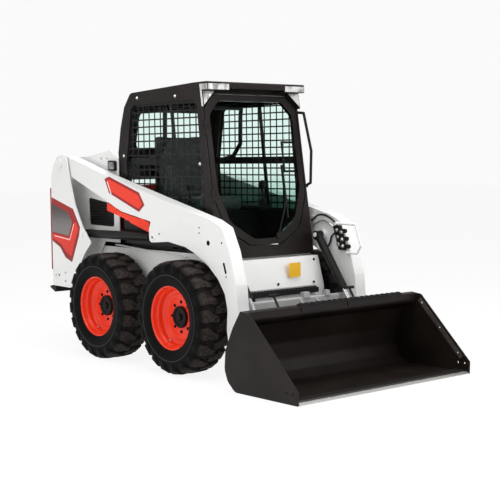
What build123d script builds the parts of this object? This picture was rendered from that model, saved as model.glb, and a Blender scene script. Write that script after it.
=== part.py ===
from build123d import *
from math import atan2, cos, degrees, hypot, radians, sin, tan
import os

os.makedirs("parts", exist_ok=True)

# Skid steer loader. +X is forward, +Y is the operator's left, +Z is up, all in millimetres.
# The origin is on the ground, under the middle of the machine's length.

# Wheels
WHEELBASE = 902.0
FRONT_AXLE_X = 221.0
WHEEL_OUT = 165.0           # from the tub's side to the middle of the tyre
TYRE_RADIUS = 386.5         # out to the tips of the lugs
TYRE_WIDTH = 260.0
LUG_HEIGHT = 20.5
LUGS_PER_SIDE = 20          # also the number of flats round the carcass
LUG_MARGIN = 1.0            # from a lug to the edge of its flat
RIM_SIDES = 32
HUB_SIDES = 24
RIM_RADIUS = 222.5
RIM_WIDTH = 228.0
RIM_WALL = 25.0
DISC_SETBACK = 15.0         # wheel disc, outboard of the tyre's middle
HUB_RADIUS = 75.0
AXLE_RADIUS = 52.0
SHAFT_RADIUS = 30.0

# Body
BODY_HALF = 440.0           # half width of the tub and the cab
TUB_FLOOR_Z = 206.0
TUB_TOP_Z = 800.0
TUB_FRONT_X = 505.0
TUB_REAR_X = -1468.0
TUB_WALL = 8.0
SIDE_PANEL_Y = BODY_HALF + 15.0     # outer face of the inner side panel
SIDE_PANEL_WALL = 7.0
ARM_INNER_Y = SIDE_PANEL_Y + 35.0
ARM_OUTER_Y = ARM_INNER_Y + 95.0
UPRIGHT_Y = ARM_OUTER_Y + 20.0      # outer face of the uprights
UPRIGHT_WALL = 8.0
UPRIGHT_REAR_X = -1476.0
TIE_DOWN_X = -1385.0
TIE_DOWN_Z = 560.0
TIE_DOWN_RADIUS = 12.5

# Cab
CAB_WALL = 40.0
CAB_FOOT_X = 401.0          # foot of the leaning front face
CAB_FOOT_Z = 770.0
CAB_LEAN = 9.0              # degrees that the front face leans back
CAB_FRONT_DEPTH = 30.0
ROOF_UNDER_Z = 1925.0       # where the leaning face meets the roof
ROOF_TOP_Z = 1972.0
VISOR_X = 316.0             # front edge of the roof
LAMP_INNER_Y = 250.0
DOOR_HALF = BODY_HALF - 22.0
DOOR_GAP = 6.0
DOOR_DEPTH = 26.0
DOOR_RAIL = 42.0
GLASS = 6.0
RAIL_DEPTH = 14.0           # rail and post across the side window
WINDOW_POST_X = -60.0
BAR_PIVOT_X = -543.0        # seat bar
BAR_PIVOT_Z = 1440.0
BAR_Y = BODY_HALF - 90.0
BAR_RADIUS = 16.0

# Lift arms
PIVOT_X = -1337.0
PIVOT_Z = 1427.0
PIVOT_PIN_RADIUS = 24.0
LIFT_BASE_X = -1041.0
LIFT_BASE_Z = 895.0
LIFT_EYE_X = -157.0
LIFT_EYE_Z = 905.0
LIFT_BORE_RADIUS = 31.0     # outside of the lift barrel
LIFT_ROD_RADIUS = 18.0
TILT_BASE_X = 450.0
TILT_BASE_Z = 902.0
TILT_EYE_X = 819.0
TILT_EYE_Z = 383.5
TILT_Y = ARM_INNER_Y - 55.0
TILT_BORE_RADIUS = 29.0
TILT_ROD_RADIUS = 16.0
PIN_RADIUS = 16.0
ELBOW_X = 623.0
ELBOW_Z = 1002.0

# Bucket
HINGE_X = 770.0
HINGE_Z = 200.0
BUCKET_HALF = 780.0
BUCKET_WALL = 8.0
BUCKET_EDGE_X = 1555.0
CUTTER_HOLE_RADIUS = 8.0
CUTTER_HOLES_X = (BUCKET_EDGE_X - 95.0, BUCKET_EDGE_X - 39.0)
CUTTER_HOLES_Z = 67.0

RUNNING = 0.05              # radial clearance of a pin in its bore
SEAT = 0.3                  # gap between curved pieces that only rest on each other

REAR_AXLE_X = FRONT_AXLE_X - WHEELBASE
AXLE_Z = TYRE_RADIUS
WHEEL_Y = BODY_HALF + WHEEL_OUT
ARM_MID_Y = (ARM_INNER_Y + ARM_OUTER_Y) / 2


def outline(rows):
    """Closed face from rows of (across, up, corner radius)."""
    points = [(across, up) for across, up, corner in rows]
    radii = [corner for across, up, corner in rows]
    return make_face(FilletPolyline(*points, radius=radii, close=True))


def side_plate(rows, y_one, y_two):
    """Plate parallel to the machine's side, rows of (x, z, corner radius)."""
    low, high = sorted((y_one, y_two))
    return extrude(Plane.XZ.offset(-high) * outline(rows), high - low)


def cross_plate(rows, x_low, x_high):
    """Plate across the machine, rows of (y, z, corner radius)."""
    return extrude(Plane.YZ.offset(x_low) * outline(rows), x_high - x_low)


def cross_bar(x, z, radius, y_one, y_two):
    """Round bar along Y."""
    length = abs(y_two - y_one)
    return Pos(x, (y_one + y_two) / 2, z) * Rot(90, 0, 0) * Cylinder(radius, length)


def block(x_low, x_high, y_low, y_high, z_low, z_high):
    """Box between its low and high corners."""
    middle = ((x_low + x_high) / 2, (y_low + y_high) / 2, (z_low + z_high) / 2)
    return Pos(*middle) * Box(x_high - x_low, y_high - y_low, z_high - z_low)


def link_bar(start, end, radius, y_middle):
    """Round bar in a plane parallel to the side, between two (x, z) points."""
    run_x = end[0] - start[0]
    run_z = end[1] - start[1]
    turn = degrees(atan2(run_x, run_z))
    middle = ((start[0] + end[0]) / 2, y_middle, (start[1] + end[1]) / 2)
    return Pos(*middle) * Rot(0, turn, 0) * Cylinder(radius, hypot(run_x, run_z))


def bent_tube(points, radius, y_middle):
    """Round tube through (x, z) points in a plane parallel to the side."""
    tube = None
    for start, end in zip(points, points[1:]):
        run = link_bar(start, end, radius, y_middle)
        tube = run if tube is None else tube + run
    for x, z in points[1:-1]:
        tube += Pos(x, y_middle, z) * Sphere(radius)
    return tube


def both_sides(piece):
    """A piece made on the left, and its mirror image on the right."""
    return [piece, mirror(piece, about=Plane.XZ)]


def save(name, *pieces):
    """Write one node from its solids."""
    solids = []
    for piece in pieces:
        solids += list(piece.solids())
    shape = solids[0] if len(solids) == 1 else Compound(children=solids)
    export_step(shape, f"parts/{name}.step")


# ---------------------------------------------------------------- wheels
# A wheel is made about the origin with its axis along Y and its outer side towards +Y.

def frustum(sides, y_low, radius_low, y_high, radius_high):
    """Many-sided ring of the carcass or the rim, filled to its axis."""
    ends = []
    for y, radius in ((y_low, radius_low), (y_high, radius_high)):
        ends.append(Plane.XZ.offset(-y) * RegularPolygon(radius, sides))
    return loft(ends, ruled=True)


def tyre():
    """Carcass with two rows of hooked bar lugs, one of each row on every flat."""
    half = TYRE_WIDTH / 2
    crown = TYRE_RADIUS - LUG_HEIGHT
    bulge = crown - 76.0
    shoulder = half - 24.0
    sidewall = frustum(LUGS_PER_SIDE, shoulder, crown, half, bulge)
    carcass = frustum(LUGS_PER_SIDE, -shoulder, crown, shoulder, crown)
    carcass += sidewall
    carcass += mirror(sidewall, about=Plane.XZ)
    step = 360.0 / LUGS_PER_SIDE
    flat = crown * sin(radians(step / 2)) - LUG_MARGIN
    lug_top = (TYRE_RADIUS ** 2 - flat ** 2) ** 0.5
    lug_face = [
        (flat, -6.0, 0), (flat - 27.0, -6.0, 0), (LUG_MARGIN, half - 62.0, 0),
        (LUG_MARGIN, half - 2.0, 0), (flat - 22.0, half - 2.0, 0),
    ]
    lug_side = [
        (-6.0, crown - 14.0, 0), (-6.0, lug_top, 0), (half - 38.0, lug_top, 0),
        (half - 2.0, crown - 17.0, 0), (half - 16.0, bulge + 20.0, 0),
    ]
    bar = extrude(Plane.XY.offset(bulge) * outline(lug_face), TYRE_RADIUS)
    bar &= extrude(Plane.YZ * outline(lug_side), crown)
    far_bar = Pos(-flat - LUG_MARGIN, 0, 0) * mirror(bar, about=Plane.XZ)
    for one in (bar, far_bar):
        carcass += [Rot(0, step * (count + 0.5), 0) * one for count in range(LUGS_PER_SIDE)]
    bead = RIM_RADIUS + SEAT + 0.7
    return carcass - frustum(RIM_SIDES, -half - 5.0, bead, half + 5.0, bead)


def rim():
    """Rim with a dished disc set well in from its edge, a hub and its shaft."""
    half = RIM_WIDTH / 2
    inner = RIM_RADIUS - RIM_WALL
    shell = frustum(RIM_SIDES, -half, RIM_RADIUS, half, RIM_RADIUS)
    shell -= frustum(RIM_SIDES, DISC_SETBACK, inner - 16.0, half + 1.0, inner + 6.0)
    shell -= frustum(RIM_SIDES, -half - 1.0, inner, DISC_SETBACK - 12.0, inner)
    disc_back = DISC_SETBACK - 21.0
    shell += frustum(HUB_SIDES, disc_back, HUB_RADIUS + 50.0, DISC_SETBACK + 1.0, HUB_RADIUS + 50.0)
    shell += frustum(HUB_SIDES, DISC_SETBACK, HUB_RADIUS, DISC_SETBACK + 25.0, HUB_RADIUS)
    shaft_end = BODY_HALF + 30.0 - WHEEL_Y
    return shell + cross_bar(0, 0, SHAFT_RADIUS - RUNNING, shaft_end, DISC_SETBACK)


wheel_tyre = tyre()
wheel_rim = rim()
WHEELS = [                  # name, x of the axle, side
    ("front_right", FRONT_AXLE_X, -1),
    ("front_left", FRONT_AXLE_X, 1),
    ("rear_right", REAR_AXLE_X, -1),
    ("rear_left", REAR_AXLE_X, 1),
]
for name, axle_x, side in WHEELS:
    for kind, piece in (("tyre", wheel_tyre), ("rim", wheel_rim)):
        turned = piece if side > 0 else mirror(piece, about=Plane.XZ)
        save(f"{kind}_{name}", Pos(axle_x, side * WHEEL_Y, AXLE_Z) * turned)

# ---------------------------------------------------------------- main frame
# A folded tub between the wheels, open on top, with a flat belly and a rear that sweeps up.

TUB_SIDE = [
    (TUB_REAR_X, TUB_TOP_Z, 0), (TUB_REAR_X, 455.0, 0), (TUB_REAR_X + 250.0, TUB_FLOOR_Z + 20.0, 60),
    (TUB_REAR_X + 420.0, TUB_FLOOR_Z, 0), (TUB_FRONT_X - 60.0, TUB_FLOOR_Z, 60),
    (TUB_FRONT_X, TUB_FLOOR_Z + 130.0, 60), (TUB_FRONT_X, TUB_TOP_Z - 250.0, 0),
    (TUB_FRONT_X - 60.0, TUB_TOP_Z - 45.0, 0), (TUB_FRONT_X - 145.0, TUB_TOP_Z - 45.0, 0),
    (TUB_FRONT_X - 145.0, TUB_TOP_Z, 0),
]
tub = side_plate(TUB_SIDE, -BODY_HALF, BODY_HALF)
tub_inside = [
    (TUB_REAR_X - 5.0, TUB_TOP_Z + 5.0, 0), (TUB_REAR_X - 5.0, 465.0, 0),
    (TUB_REAR_X + 255.0, TUB_FLOOR_Z + 20.0 + TUB_WALL, 50),
    (TUB_REAR_X + 420.0, TUB_FLOOR_Z + TUB_WALL, 0), (TUB_FRONT_X - 65.0, TUB_FLOOR_Z + TUB_WALL, 50),
    (TUB_FRONT_X - TUB_WALL, TUB_FLOOR_Z + 135.0, 50), (TUB_FRONT_X - TUB_WALL, TUB_TOP_Z - 250.0, 0),
    (TUB_FRONT_X - 70.0, TUB_TOP_Z - 55.0, 0), (TUB_FRONT_X - 155.0, TUB_TOP_Z - 55.0, 0),
    (TUB_FRONT_X - 155.0, TUB_TOP_Z + 5.0, 0),
]
tub -= side_plate(tub_inside, -BODY_HALF + TUB_WALL, BODY_HALF - TUB_WALL)
save("main_frame", tub)

# Axle housings: a flange on the tub and a tube out to the wheel hub.
housings = []
for axle_x in (FRONT_AXLE_X, REAR_AXLE_X):
    face = WHEEL_Y + DISC_SETBACK - 21.0 - 5.0
    housing = cross_bar(axle_x, AXLE_Z, AXLE_RADIUS, BODY_HALF, face)
    housing += cross_bar(axle_x, AXLE_Z, AXLE_RADIUS + 45.0, BODY_HALF, BODY_HALF + 16.0)
    housing -= cross_bar(axle_x, AXLE_Z, SHAFT_RADIUS, BODY_HALF + 20.0, face + 5.0)
    housings += both_sides(housing)
save("axle_housings", *housings)

engine = block(-1230.0, -810.0, -270.0, 270.0, 330.0, 900.0)
for foot_y in (-220.0, 220.0):
    engine += block(-1000.0, -900.0, foot_y - 30.0, foot_y + 30.0, TUB_FLOOR_Z + TUB_WALL, 340.0)
save("engine_block", engine)

# ---------------------------------------------------------------- uprights, side panels, covers
UPRIGHT_SIDE = [
    (UPRIGHT_REAR_X, 475.0, 0), (UPRIGHT_REAR_X, PIVOT_Z - 128.0, 30),
    (UPRIGHT_REAR_X + 20.0, PIVOT_Z - 50.0, 40), (PIVOT_X - 50.0, PIVOT_Z + 52.0, 50),
    (PIVOT_X + 34.0, PIVOT_Z + 66.0, 25), (PIVOT_X + 95.0, PIVOT_Z + 44.0, 30),
    (PIVOT_X + 129.0, PIVOT_Z - 96.0, 0), (PIVOT_X + 206.0, PIVOT_Z - 316.0, 0),
    (LIFT_BASE_X + 12.0, LIFT_BASE_Z + 50.0, 60), (LIFT_BASE_X + 124.0, LIFT_BASE_Z - 63.0, 12),
    (LIFT_BASE_X + 22.0, LIFT_BASE_Z - 158.0, 40), (LIFT_BASE_X - 160.0, 472.0, 0),
]
upright = side_plate(UPRIGHT_SIDE, UPRIGHT_Y - UPRIGHT_WALL, UPRIGHT_Y)
upright += block(UPRIGHT_REAR_X, UPRIGHT_REAR_X + UPRIGHT_WALL, SIDE_PANEL_Y, UPRIGHT_Y, 475.0, PIVOT_Z - 128.0)
upright -= cross_bar(PIVOT_X, PIVOT_Z, PIVOT_PIN_RADIUS, UPRIGHT_Y - 20.0, UPRIGHT_Y + 20.0)
upright -= cross_bar(LIFT_BASE_X, LIFT_BASE_Z, PIN_RADIUS, UPRIGHT_Y - 20.0, UPRIGHT_Y + 20.0)
upright -= cross_bar(TIE_DOWN_X, TIE_DOWN_Z, TIE_DOWN_RADIUS, UPRIGHT_Y - 20.0, UPRIGHT_Y + 20.0)
uprights = both_sides(upright)
# Tailgate hinges on the left upright: brackets with pins that stand up into the gate's knuckles.
GATE_HINGE_X = UPRIGHT_REAR_X - 24.0
GATE_HINGE_Y = UPRIGHT_Y - 27.0
GATE_HINGES_Z = (640.0, 1100.0)
GATE_KNUCKLE = 60.0
GATE_PIN_RADIUS = 9.0
for hinge_z in GATE_HINGES_Z:
    uprights[0] += block(GATE_HINGE_X, UPRIGHT_REAR_X + 1.0, GATE_HINGE_Y - 16.0, GATE_HINGE_Y + 16.0, hinge_z, hinge_z + GATE_KNUCKLE)
    uprights[0] += Pos(GATE_HINGE_X, GATE_HINGE_Y, hinge_z + GATE_KNUCKLE / 2) * Cylinder(16.0, GATE_KNUCKLE)
    uprights[0] += Pos(GATE_HINGE_X, GATE_HINGE_Y, hinge_z + GATE_KNUCKLE * 1.4) * Cylinder(GATE_PIN_RADIUS - RUNNING, GATE_KNUCKLE)
save("uprights", *uprights)

SIDE_PANEL = [
    (UPRIGHT_REAR_X + UPRIGHT_WALL, 475.0, 0), (UPRIGHT_REAR_X + UPRIGHT_WALL, PIVOT_Z - 80.0, 40),
    (PIVOT_X - 67.0, PIVOT_Z + 40.0, 40), (-1150.0, 1480.0, 0), (-872.0, 1524.0, 25), (-757.0, 1455.0, 40),
    (-755.0, 1250.0, 0), (-755.0, 835.0, 0), (-950.0, 835.0, 0), (-1019.0, 737.0, 40), (-1201.0, 472.0, 0),
]
VENT = [                    # rear low, rear high, front high, front low
    (-1165.0, 955.0, 22), (-1175.0, 1165.0, 22), (-800.0 - 25.0, 1120.0, 22), (-825.0, 950.0, 22),
]
panel = side_plate(SIDE_PANEL, SIDE_PANEL_Y - SIDE_PANEL_WALL, SIDE_PANEL_Y)
panel -= side_plate(VENT, SIDE_PANEL_Y - 20.0, SIDE_PANEL_Y + 20.0)
panel -= cross_bar(PIVOT_X, PIVOT_Z, PIVOT_PIN_RADIUS, SIDE_PANEL_Y - 20.0, SIDE_PANEL_Y + 20.0)
panel -= cross_bar(LIFT_BASE_X, LIFT_BASE_Z, PIN_RADIUS, SIDE_PANEL_Y - 20.0, SIDE_PANEL_Y + 20.0)
save("side_panels", *both_sides(panel))

vent = side_plate(VENT, SIDE_PANEL_Y - SIDE_PANEL_WALL - 6.0, SIDE_PANEL_Y - SIDE_PANEL_WALL)
save("side_vents", *both_sides(vent))

WORK_LAMP = [               # (x, z, corner radius)
    (-872.0, 1372.0, 14), (-872.0, 1446.0, 14), (-774.0, 1443.0, 14), (-774.0, 1368.0, 14),
]
WORK_LAMP_DEPTH = 20.0
work_lamp = side_plate(WORK_LAMP, SIDE_PANEL_Y, SIDE_PANEL_Y + WORK_LAMP_DEPTH)
work_lamp -= side_plate([
    (x + 10.0 if x < -800.0 else x - 10.0, z + 10.0 if z < 1400.0 else z - 10.0, 6) for x, z, corner in WORK_LAMP
], SIDE_PANEL_Y + WORK_LAMP_DEPTH - 6.0, SIDE_PANEL_Y + WORK_LAMP_DEPTH + 1.0)
save("work_lamps", *both_sides(work_lamp))

# Each arm swings on a pin that runs from the inner panel to the upright, with a round cover outside.
pins = []
pivot_pin = cross_bar(PIVOT_X, PIVOT_Z, PIVOT_PIN_RADIUS - RUNNING, SIDE_PANEL_Y - SIDE_PANEL_WALL, UPRIGHT_Y)
pivot_pin += cross_bar(PIVOT_X, PIVOT_Z, PIVOT_PIN_RADIUS + 12.0, UPRIGHT_Y, UPRIGHT_Y + 9.0)
base_pin = cross_bar(LIFT_BASE_X, LIFT_BASE_Z, PIN_RADIUS - RUNNING, SIDE_PANEL_Y - SIDE_PANEL_WALL, UPRIGHT_Y)
base_pin += cross_bar(LIFT_BASE_X, LIFT_BASE_Z, PIN_RADIUS + 10.0, UPRIGHT_Y, UPRIGHT_Y + 6.0)
save("frame_pins", *both_sides(pivot_pin), *both_sides(base_pin))

hood = side_plate([
    (TUB_REAR_X + 40.0, 1290.0, 0), (TUB_REAR_X + 110.0, 1400.0, 60), (-1150.0, 1440.0, 0), (-830.0, 1460.0, 0),
    (-830.0, 1452.0, 0), (-1150.0, 1432.0, 0), (TUB_REAR_X + 115.0, 1392.0, 52), (TUB_REAR_X + 47.0, 1286.0, 0),
], -SIDE_PANEL_Y + SIDE_PANEL_WALL, SIDE_PANEL_Y - SIDE_PANEL_WALL)
save("engine_hood", hood)

bumper = side_plate([
    (UPRIGHT_REAR_X - 84.0, 462.0, 0), (UPRIGHT_REAR_X - 84.0, 450.0, 0), (UPRIGHT_REAR_X - 12.0, 418.0, 0),
    (TUB_REAR_X, 424.0, 0), (TUB_REAR_X, 475.0, 0), (UPRIGHT_REAR_X - 20.0, 475.0, 0),
], -UPRIGHT_Y + 20.0, UPRIGHT_Y - 20.0)
save("rear_bumper", bumper)

fender = side_plate([
    (-800.0, 822.0, 0), (60.0, 775.0, 0), (60.0, 768.0, 0), (-800.0, 815.0, 0),
], BODY_HALF, BODY_HALF + 27.0)
save("fenders", *both_sides(fender))

front_panel = side_plate([
    (TUB_FRONT_X, TUB_TOP_Z - 250.0, 0), (TUB_FRONT_X - 60.0, TUB_TOP_Z - 45.0, 0),
    (TUB_FRONT_X - 53.0, TUB_TOP_Z - 43.0, 0), (TUB_FRONT_X + 7.0, TUB_TOP_Z - 248.0, 0),
], -365.0, 365.0)
save("front_panel", front_panel)

step_bar = block(TUB_FRONT_X, TUB_FRONT_X + 42.0, -350.0, 350.0, 505.0, 540.0)
save("front_step", step_bar)

# ---------------------------------------------------------------- cab
LEAN = tan(radians(CAB_LEAN))
FRONT_FACE = Plane(
    origin=(CAB_FOOT_X, 0, CAB_FOOT_Z), x_dir=(0, 1, 0),
    z_dir=(cos(radians(CAB_LEAN)), 0, sin(radians(CAB_LEAN))),
)


def front_x(z, behind=0.0):
    """X of the cab's leaning front face at a height, or of a plane that far behind it."""
    return CAB_FOOT_X - (z - CAB_FOOT_Z) * LEAN - behind / cos(radians(CAB_LEAN))


ROOF_UNDER = [(-668.0, 1842.0), (-598.0, 1892.0), (front_x(ROOF_UNDER_Z, CAB_FRONT_DEPTH), ROOF_UNDER_Z)]
cab_side_rows = [(-700.0, 835.0, 0), (-775.0, 1500.0, 0), (-741.0, 1680.0, 0), (-689.0, 1835.0, 0)]
cab_side_rows += [(x, z, 0) for x, z in ROOF_UNDER]
cab_side_rows += [(front_x(TUB_TOP_Z, CAB_FRONT_DEPTH), TUB_TOP_Z, 0), (60.0, TUB_TOP_Z, 0), (60.0, 835.0, 0)]
SIDE_WINDOW = [
    (-645.0, 1075.0, 50), (-668.0, 1426.0, 0), (-603.0, 1815.0, 40), (-560.0, 1846.0, 30),
    (182.0, 1855.0, 60), (274.0, 1071.0, 40),
]
cab_side = side_plate(cab_side_rows, BODY_HALF - CAB_WALL, BODY_HALF)
cab_side -= side_plate(SIDE_WINDOW, BODY_HALF - CAB_WALL - 5.0, BODY_HALF + 5.0)
# a rail and a post cross the window on its inner side; the seat bar turns on the rail
rail_inner = BODY_HALF - CAB_WALL
cab_side += block(-700.0, front_x(BAR_PIVOT_Z, CAB_FRONT_DEPTH) - 5.0, rail_inner, rail_inner + RAIL_DEPTH,
                  BAR_PIVOT_Z - 30.0, BAR_PIVOT_Z + 22.0)
cab_side += side_plate([
    (WINDOW_POST_X, 1040.0, 0), (WINDOW_POST_X - 105.0, 1880.0, 0), (WINDOW_POST_X - 80.0, 1880.0, 0),
    (WINDOW_POST_X + 25.0, 1040.0, 0),
], rail_inner, rail_inner + RAIL_DEPTH)
cab_side -= cross_bar(BAR_PIVOT_X, BAR_PIVOT_Z, PIN_RADIUS - 6.0, rail_inner - 5.0, rail_inner + RAIL_DEPTH + 1.0)
save("cab_sides", *both_sides(cab_side))

roof_rows = [(x, z, 0) for x, z in ROOF_UNDER]
roof_rows = [(-689.0, 1835.0, 0)] + roof_rows
roof_rows += [
    (VISOR_X, ROOF_UNDER_Z, 10), (VISOR_X, ROOF_TOP_Z, 20), (150.0, ROOF_TOP_Z - 2.0, 0), (-608.0, 1934.0, 60),
]
roof = side_plate(roof_rows, -BODY_HALF, BODY_HALF)

FRONT_TOP = (ROOF_UNDER_Z - CAB_FOOT_Z) / cos(radians(CAB_LEAN))
DOOR_TOP = FRONT_TOP - 37.0
DOOR = [                    # half of the door, (y, distance up the leaning face, corner radius)
    (DOOR_HALF - 93.0, DOOR_TOP, 50.0), (DOOR_HALF, DOOR_TOP - 97.0, 60.0), (DOOR_HALF, 430.0, 100.0),
    (DOOR_HALF - 83.0, 205.0, 120.0), (140.0, 85.0, 100.0),
]


def door_rows(grow=0.0):
    """The door's outline, both halves, grown outwards all round."""
    right = []
    for y, up, corner in DOOR:
        lift = grow if up > FRONT_TOP / 2 else -grow
        right.append((y + grow, up + lift, corner))
    left = [(-y, up, corner) for y, up, corner in reversed(right)]
    return right + left


front_rows = [(-BODY_HALF, 0, 0), (BODY_HALF, 0, 0), (BODY_HALF, FRONT_TOP, 0), (-BODY_HALF, FRONT_TOP, 0)]
cab_front = extrude(FRONT_FACE * outline(front_rows), -CAB_FRONT_DEPTH)
cab_front -= extrude(FRONT_FACE.offset(5.0) * outline(door_rows(DOOR_GAP)), -CAB_FRONT_DEPTH - 10.0)

# Door hinges stand on the face beside the opening: each has a knuckle on the cab with a pin
# that rises into a knuckle on the door.
HINGE_Y = -DOOR_HALF - 13.0
HINGE_OUT = 10.0
KNUCKLE_RADIUS = 9.0
KNUCKLE = 45.0
HINGES_UP = (430.0, 900.0)
DOOR_PIN_RADIUS = 5.0


def on_face(y, up, out):
    """Place on the leaning front face: across, up the face, and out from it."""
    return FRONT_FACE.location * Pos(y, up, out)


def upright_rod(y, up_low, up_high, out, radius):
    """Round bar that runs up the leaning face."""
    middle = (up_low + up_high) / 2
    return on_face(y, middle, out) * Rot(90, 0, 0) * Cylinder(radius, up_high - up_low)


def face_block(y_low, y_high, up_low, up_high, out_low, out_high):
    """Box laid on the leaning front face."""
    middle = on_face((y_low + y_high) / 2, (up_low + up_high) / 2, (out_low + out_high) / 2)
    return middle * Box(y_high - y_low, up_high - up_low, out_high - out_low)


for up in HINGES_UP:
    cab_front += upright_rod(HINGE_Y, up - KNUCKLE, up, HINGE_OUT, KNUCKLE_RADIUS)
    cab_front += face_block(-BODY_HALF, HINGE_Y + 4.0, up - KNUCKLE, up, -1.0, HINGE_OUT - 2.0)
    cab_front += upright_rod(HINGE_Y, up - 1.0, up + KNUCKLE - 6.0, HINGE_OUT, DOOR_PIN_RADIUS - RUNNING)
save("cab_front", cab_front)

rear_rows = [
    (-758.0, 1320.0, 0), (-775.0, 1500.0, 0), (-741.0, 1680.0, 0), (-689.0, 1835.0, 0), (-668.0, 1842.0, 0),
    (-715.0, 1675.0, 0), (-749.0, 1500.0, 0), (-732.0, 1320.0, 0),
]
cab_rear = side_plate(rear_rows, -BODY_HALF + CAB_WALL, BODY_HALF - CAB_WALL)
rear_window = cross_plate([
    (-300.0, 1530.0, 40), (-300.0, 1800.0, 40), (300.0, 1800.0, 40), (300.0, 1530.0, 40),
], -850.0, -600.0)
cab_rear -= rear_window
save("cab_rear", cab_rear)

save("cab_floor", block(-700.0, CAB_FOOT_X - 60.0, -BODY_HALF + CAB_WALL, BODY_HALF - CAB_WALL, TUB_TOP_Z, TUB_TOP_Z + 12.0))

glass_y = BODY_HALF - CAB_WALL / 2
side_glass = side_plate(SIDE_WINDOW, glass_y - GLASS / 2, glass_y + GLASS / 2)
save("side_glass", *both_sides(side_glass))

# A steel screen stands in each side window, outside the glass: a rim with upright bars, and
# level bars laid on them.
SCREEN_Y = glass_y + GLASS / 2 + 2.0
SCREEN_RIM = 10.0
SCREEN_BAR = 10.0
SCREEN_PITCH_X = 69.0
SCREEN_PITCH_Z = 51.0
SCREEN_LAYER = 3.0
window_face = outline(SIDE_WINDOW)
window_low = min(z for x, z, corner in SIDE_WINDOW)
window_high = max(z for x, z, corner in SIDE_WINDOW)
window_rear = min(x for x, z, corner in SIDE_WINDOW)
window_front = max(x for x, z, corner in SIDE_WINDOW)
screen_outer = SCREEN_Y + 2 * SCREEN_LAYER + SEAT
screen_plane = Plane.XZ.offset(-screen_outer)
screen = extrude(screen_plane * (window_face - offset(window_face, -SCREEN_RIM)), screen_outer - SCREEN_Y)
bars = []
for count in range(1, int((window_front - window_rear) / SCREEN_PITCH_X) + 1):
    x = window_rear + count * SCREEN_PITCH_X
    bars.append(block(x - SCREEN_BAR / 2, x + SCREEN_BAR / 2, SCREEN_Y, SCREEN_Y + SCREEN_LAYER, window_low, window_high))
for count in range(1, int((window_high - window_low) / SCREEN_PITCH_Z) + 1):
    z = window_low + count * SCREEN_PITCH_Z
    bars.append(block(window_rear, window_front, screen_outer - SCREEN_LAYER, screen_outer, z - SCREEN_BAR / 2, z + SCREEN_BAR / 2))
window_space = extrude(Plane.XZ.offset(-BODY_HALF) * offset(window_face, -SCREEN_RIM / 2), CAB_WALL)
for bar in bars:
    screen += bar & window_space
save("side_screens", *both_sides(screen))

rear_glass = side_plate([
    (-765.0, 1500.0, 0), (-731.0, 1677.0, 0), (-684.0, 1830.0, 0), (-678.0, 1830.0, 0), (-725.0, 1677.0, 0),
    (-759.0, 1500.0, 0),
], -BODY_HALF + CAB_WALL, BODY_HALF - CAB_WALL)
save("rear_glass", rear_glass & rear_window)

# Grab handle bent from tube, on the left front corner of the cab
HANDLE_RADIUS = 10.0
HANDLE = [(198.0, 1780.0), (287.0, 1772.0), (365.0, 1499.0), (356.0, 1271.0), (306.0, 1249.0)]
handle_y = BODY_HALF + HANDLE_RADIUS + 4.0
handle = bent_tube(HANDLE, HANDLE_RADIUS, handle_y)
for x, z in (HANDLE[0], HANDLE[-1]):
    handle += cross_bar(x, z, HANDLE_RADIUS + 3.0, BODY_HALF, handle_y + HANDLE_RADIUS + 2.0)
save("grab_handle", handle)

# Each lamp is a bar under the roof with a slim tip that runs down the cab's corner.
LAMP_UNDER_Z = ROOF_UNDER_Z - 12.0
LAMP_TIP_Z = 1800.0
LAMP_TIP_DEPTH = 30.0


def before_face(out_low, out_high):
    """Slab in front of the left half of the leaning face."""
    corners = [(0.0, 0.0, 0), (BODY_HALF + 10.0, 0.0, 0), (BODY_HALF + 10.0, FRONT_TOP + 90.0, 0), (0.0, FRONT_TOP + 90.0, 0)]
    return extrude(FRONT_FACE.offset(out_low) * outline(corners), out_high - out_low)


lamp_x = (VISOR_X - 106.0, VISOR_X - 4.0)
lamp = block(*lamp_x, LAMP_INNER_Y, BODY_HALF, LAMP_UNDER_Z, ROOF_TOP_Z - 10.0) & before_face(1.0, 150.0)
lamp_tip = cross_plate([
    (BODY_HALF - 115.0, LAMP_UNDER_Z + 1.0, 0), (BODY_HALF, LAMP_UNDER_Z + 1.0, 0), (BODY_HALF, LAMP_TIP_Z, 0),
    (BODY_HALF - 8.0, LAMP_TIP_Z + 12.0, 0),
], lamp_x[0], lamp_x[1] + 30.0)
lamp += lamp_tip & before_face(0.0, LAMP_TIP_DEPTH)
save("headlamps", *both_sides(lamp))

lamp_pocket = block(150.0, VISOR_X + 14.0, LAMP_INNER_Y - 1.0, BODY_HALF + 5.0, LAMP_TIP_Z, ROOF_TOP_Z - 9.0) & before_face(1.0, 300.0)
for pocket in both_sides(lamp_pocket):
    roof -= pocket
save("cab_roof", roof)

# Seat, its base and the two control stands
save("seat_base", block(-690.0, -170.0, -BODY_HALF + CAB_WALL + 5.0, BODY_HALF - CAB_WALL - 5.0, 812.0, 1060.0))
save("seat_cushions", block(-560.0, -110.0, -235.0, 235.0, 1060.0, 1170.0), block(-670.0, -560.0 - SEAT, -225.0, 225.0, 1060.0, 1640.0))
STAND_TOP_Z = 1106.0
LEVER_Y = BODY_HALF - 105.0
STAND_OUTER_Y = BODY_HALF - CAB_WALL - 15.0
stand = block(-420.0, 0.0, STAND_OUTER_Y - 100.0, STAND_OUTER_Y, 1060.0, STAND_TOP_Z)
save("control_stands", *both_sides(stand))
lever = block(-48.0, -32.0, LEVER_Y - 8.0, LEVER_Y + 8.0, STAND_TOP_Z, STAND_TOP_Z + 130.0)
lever += Pos(-40.0, LEVER_Y, STAND_TOP_Z + 128.0) * extrude(RegularPolygon(26.0, HUB_SIDES), 56.0)
save("control_levers", *both_sides(lever))

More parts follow.
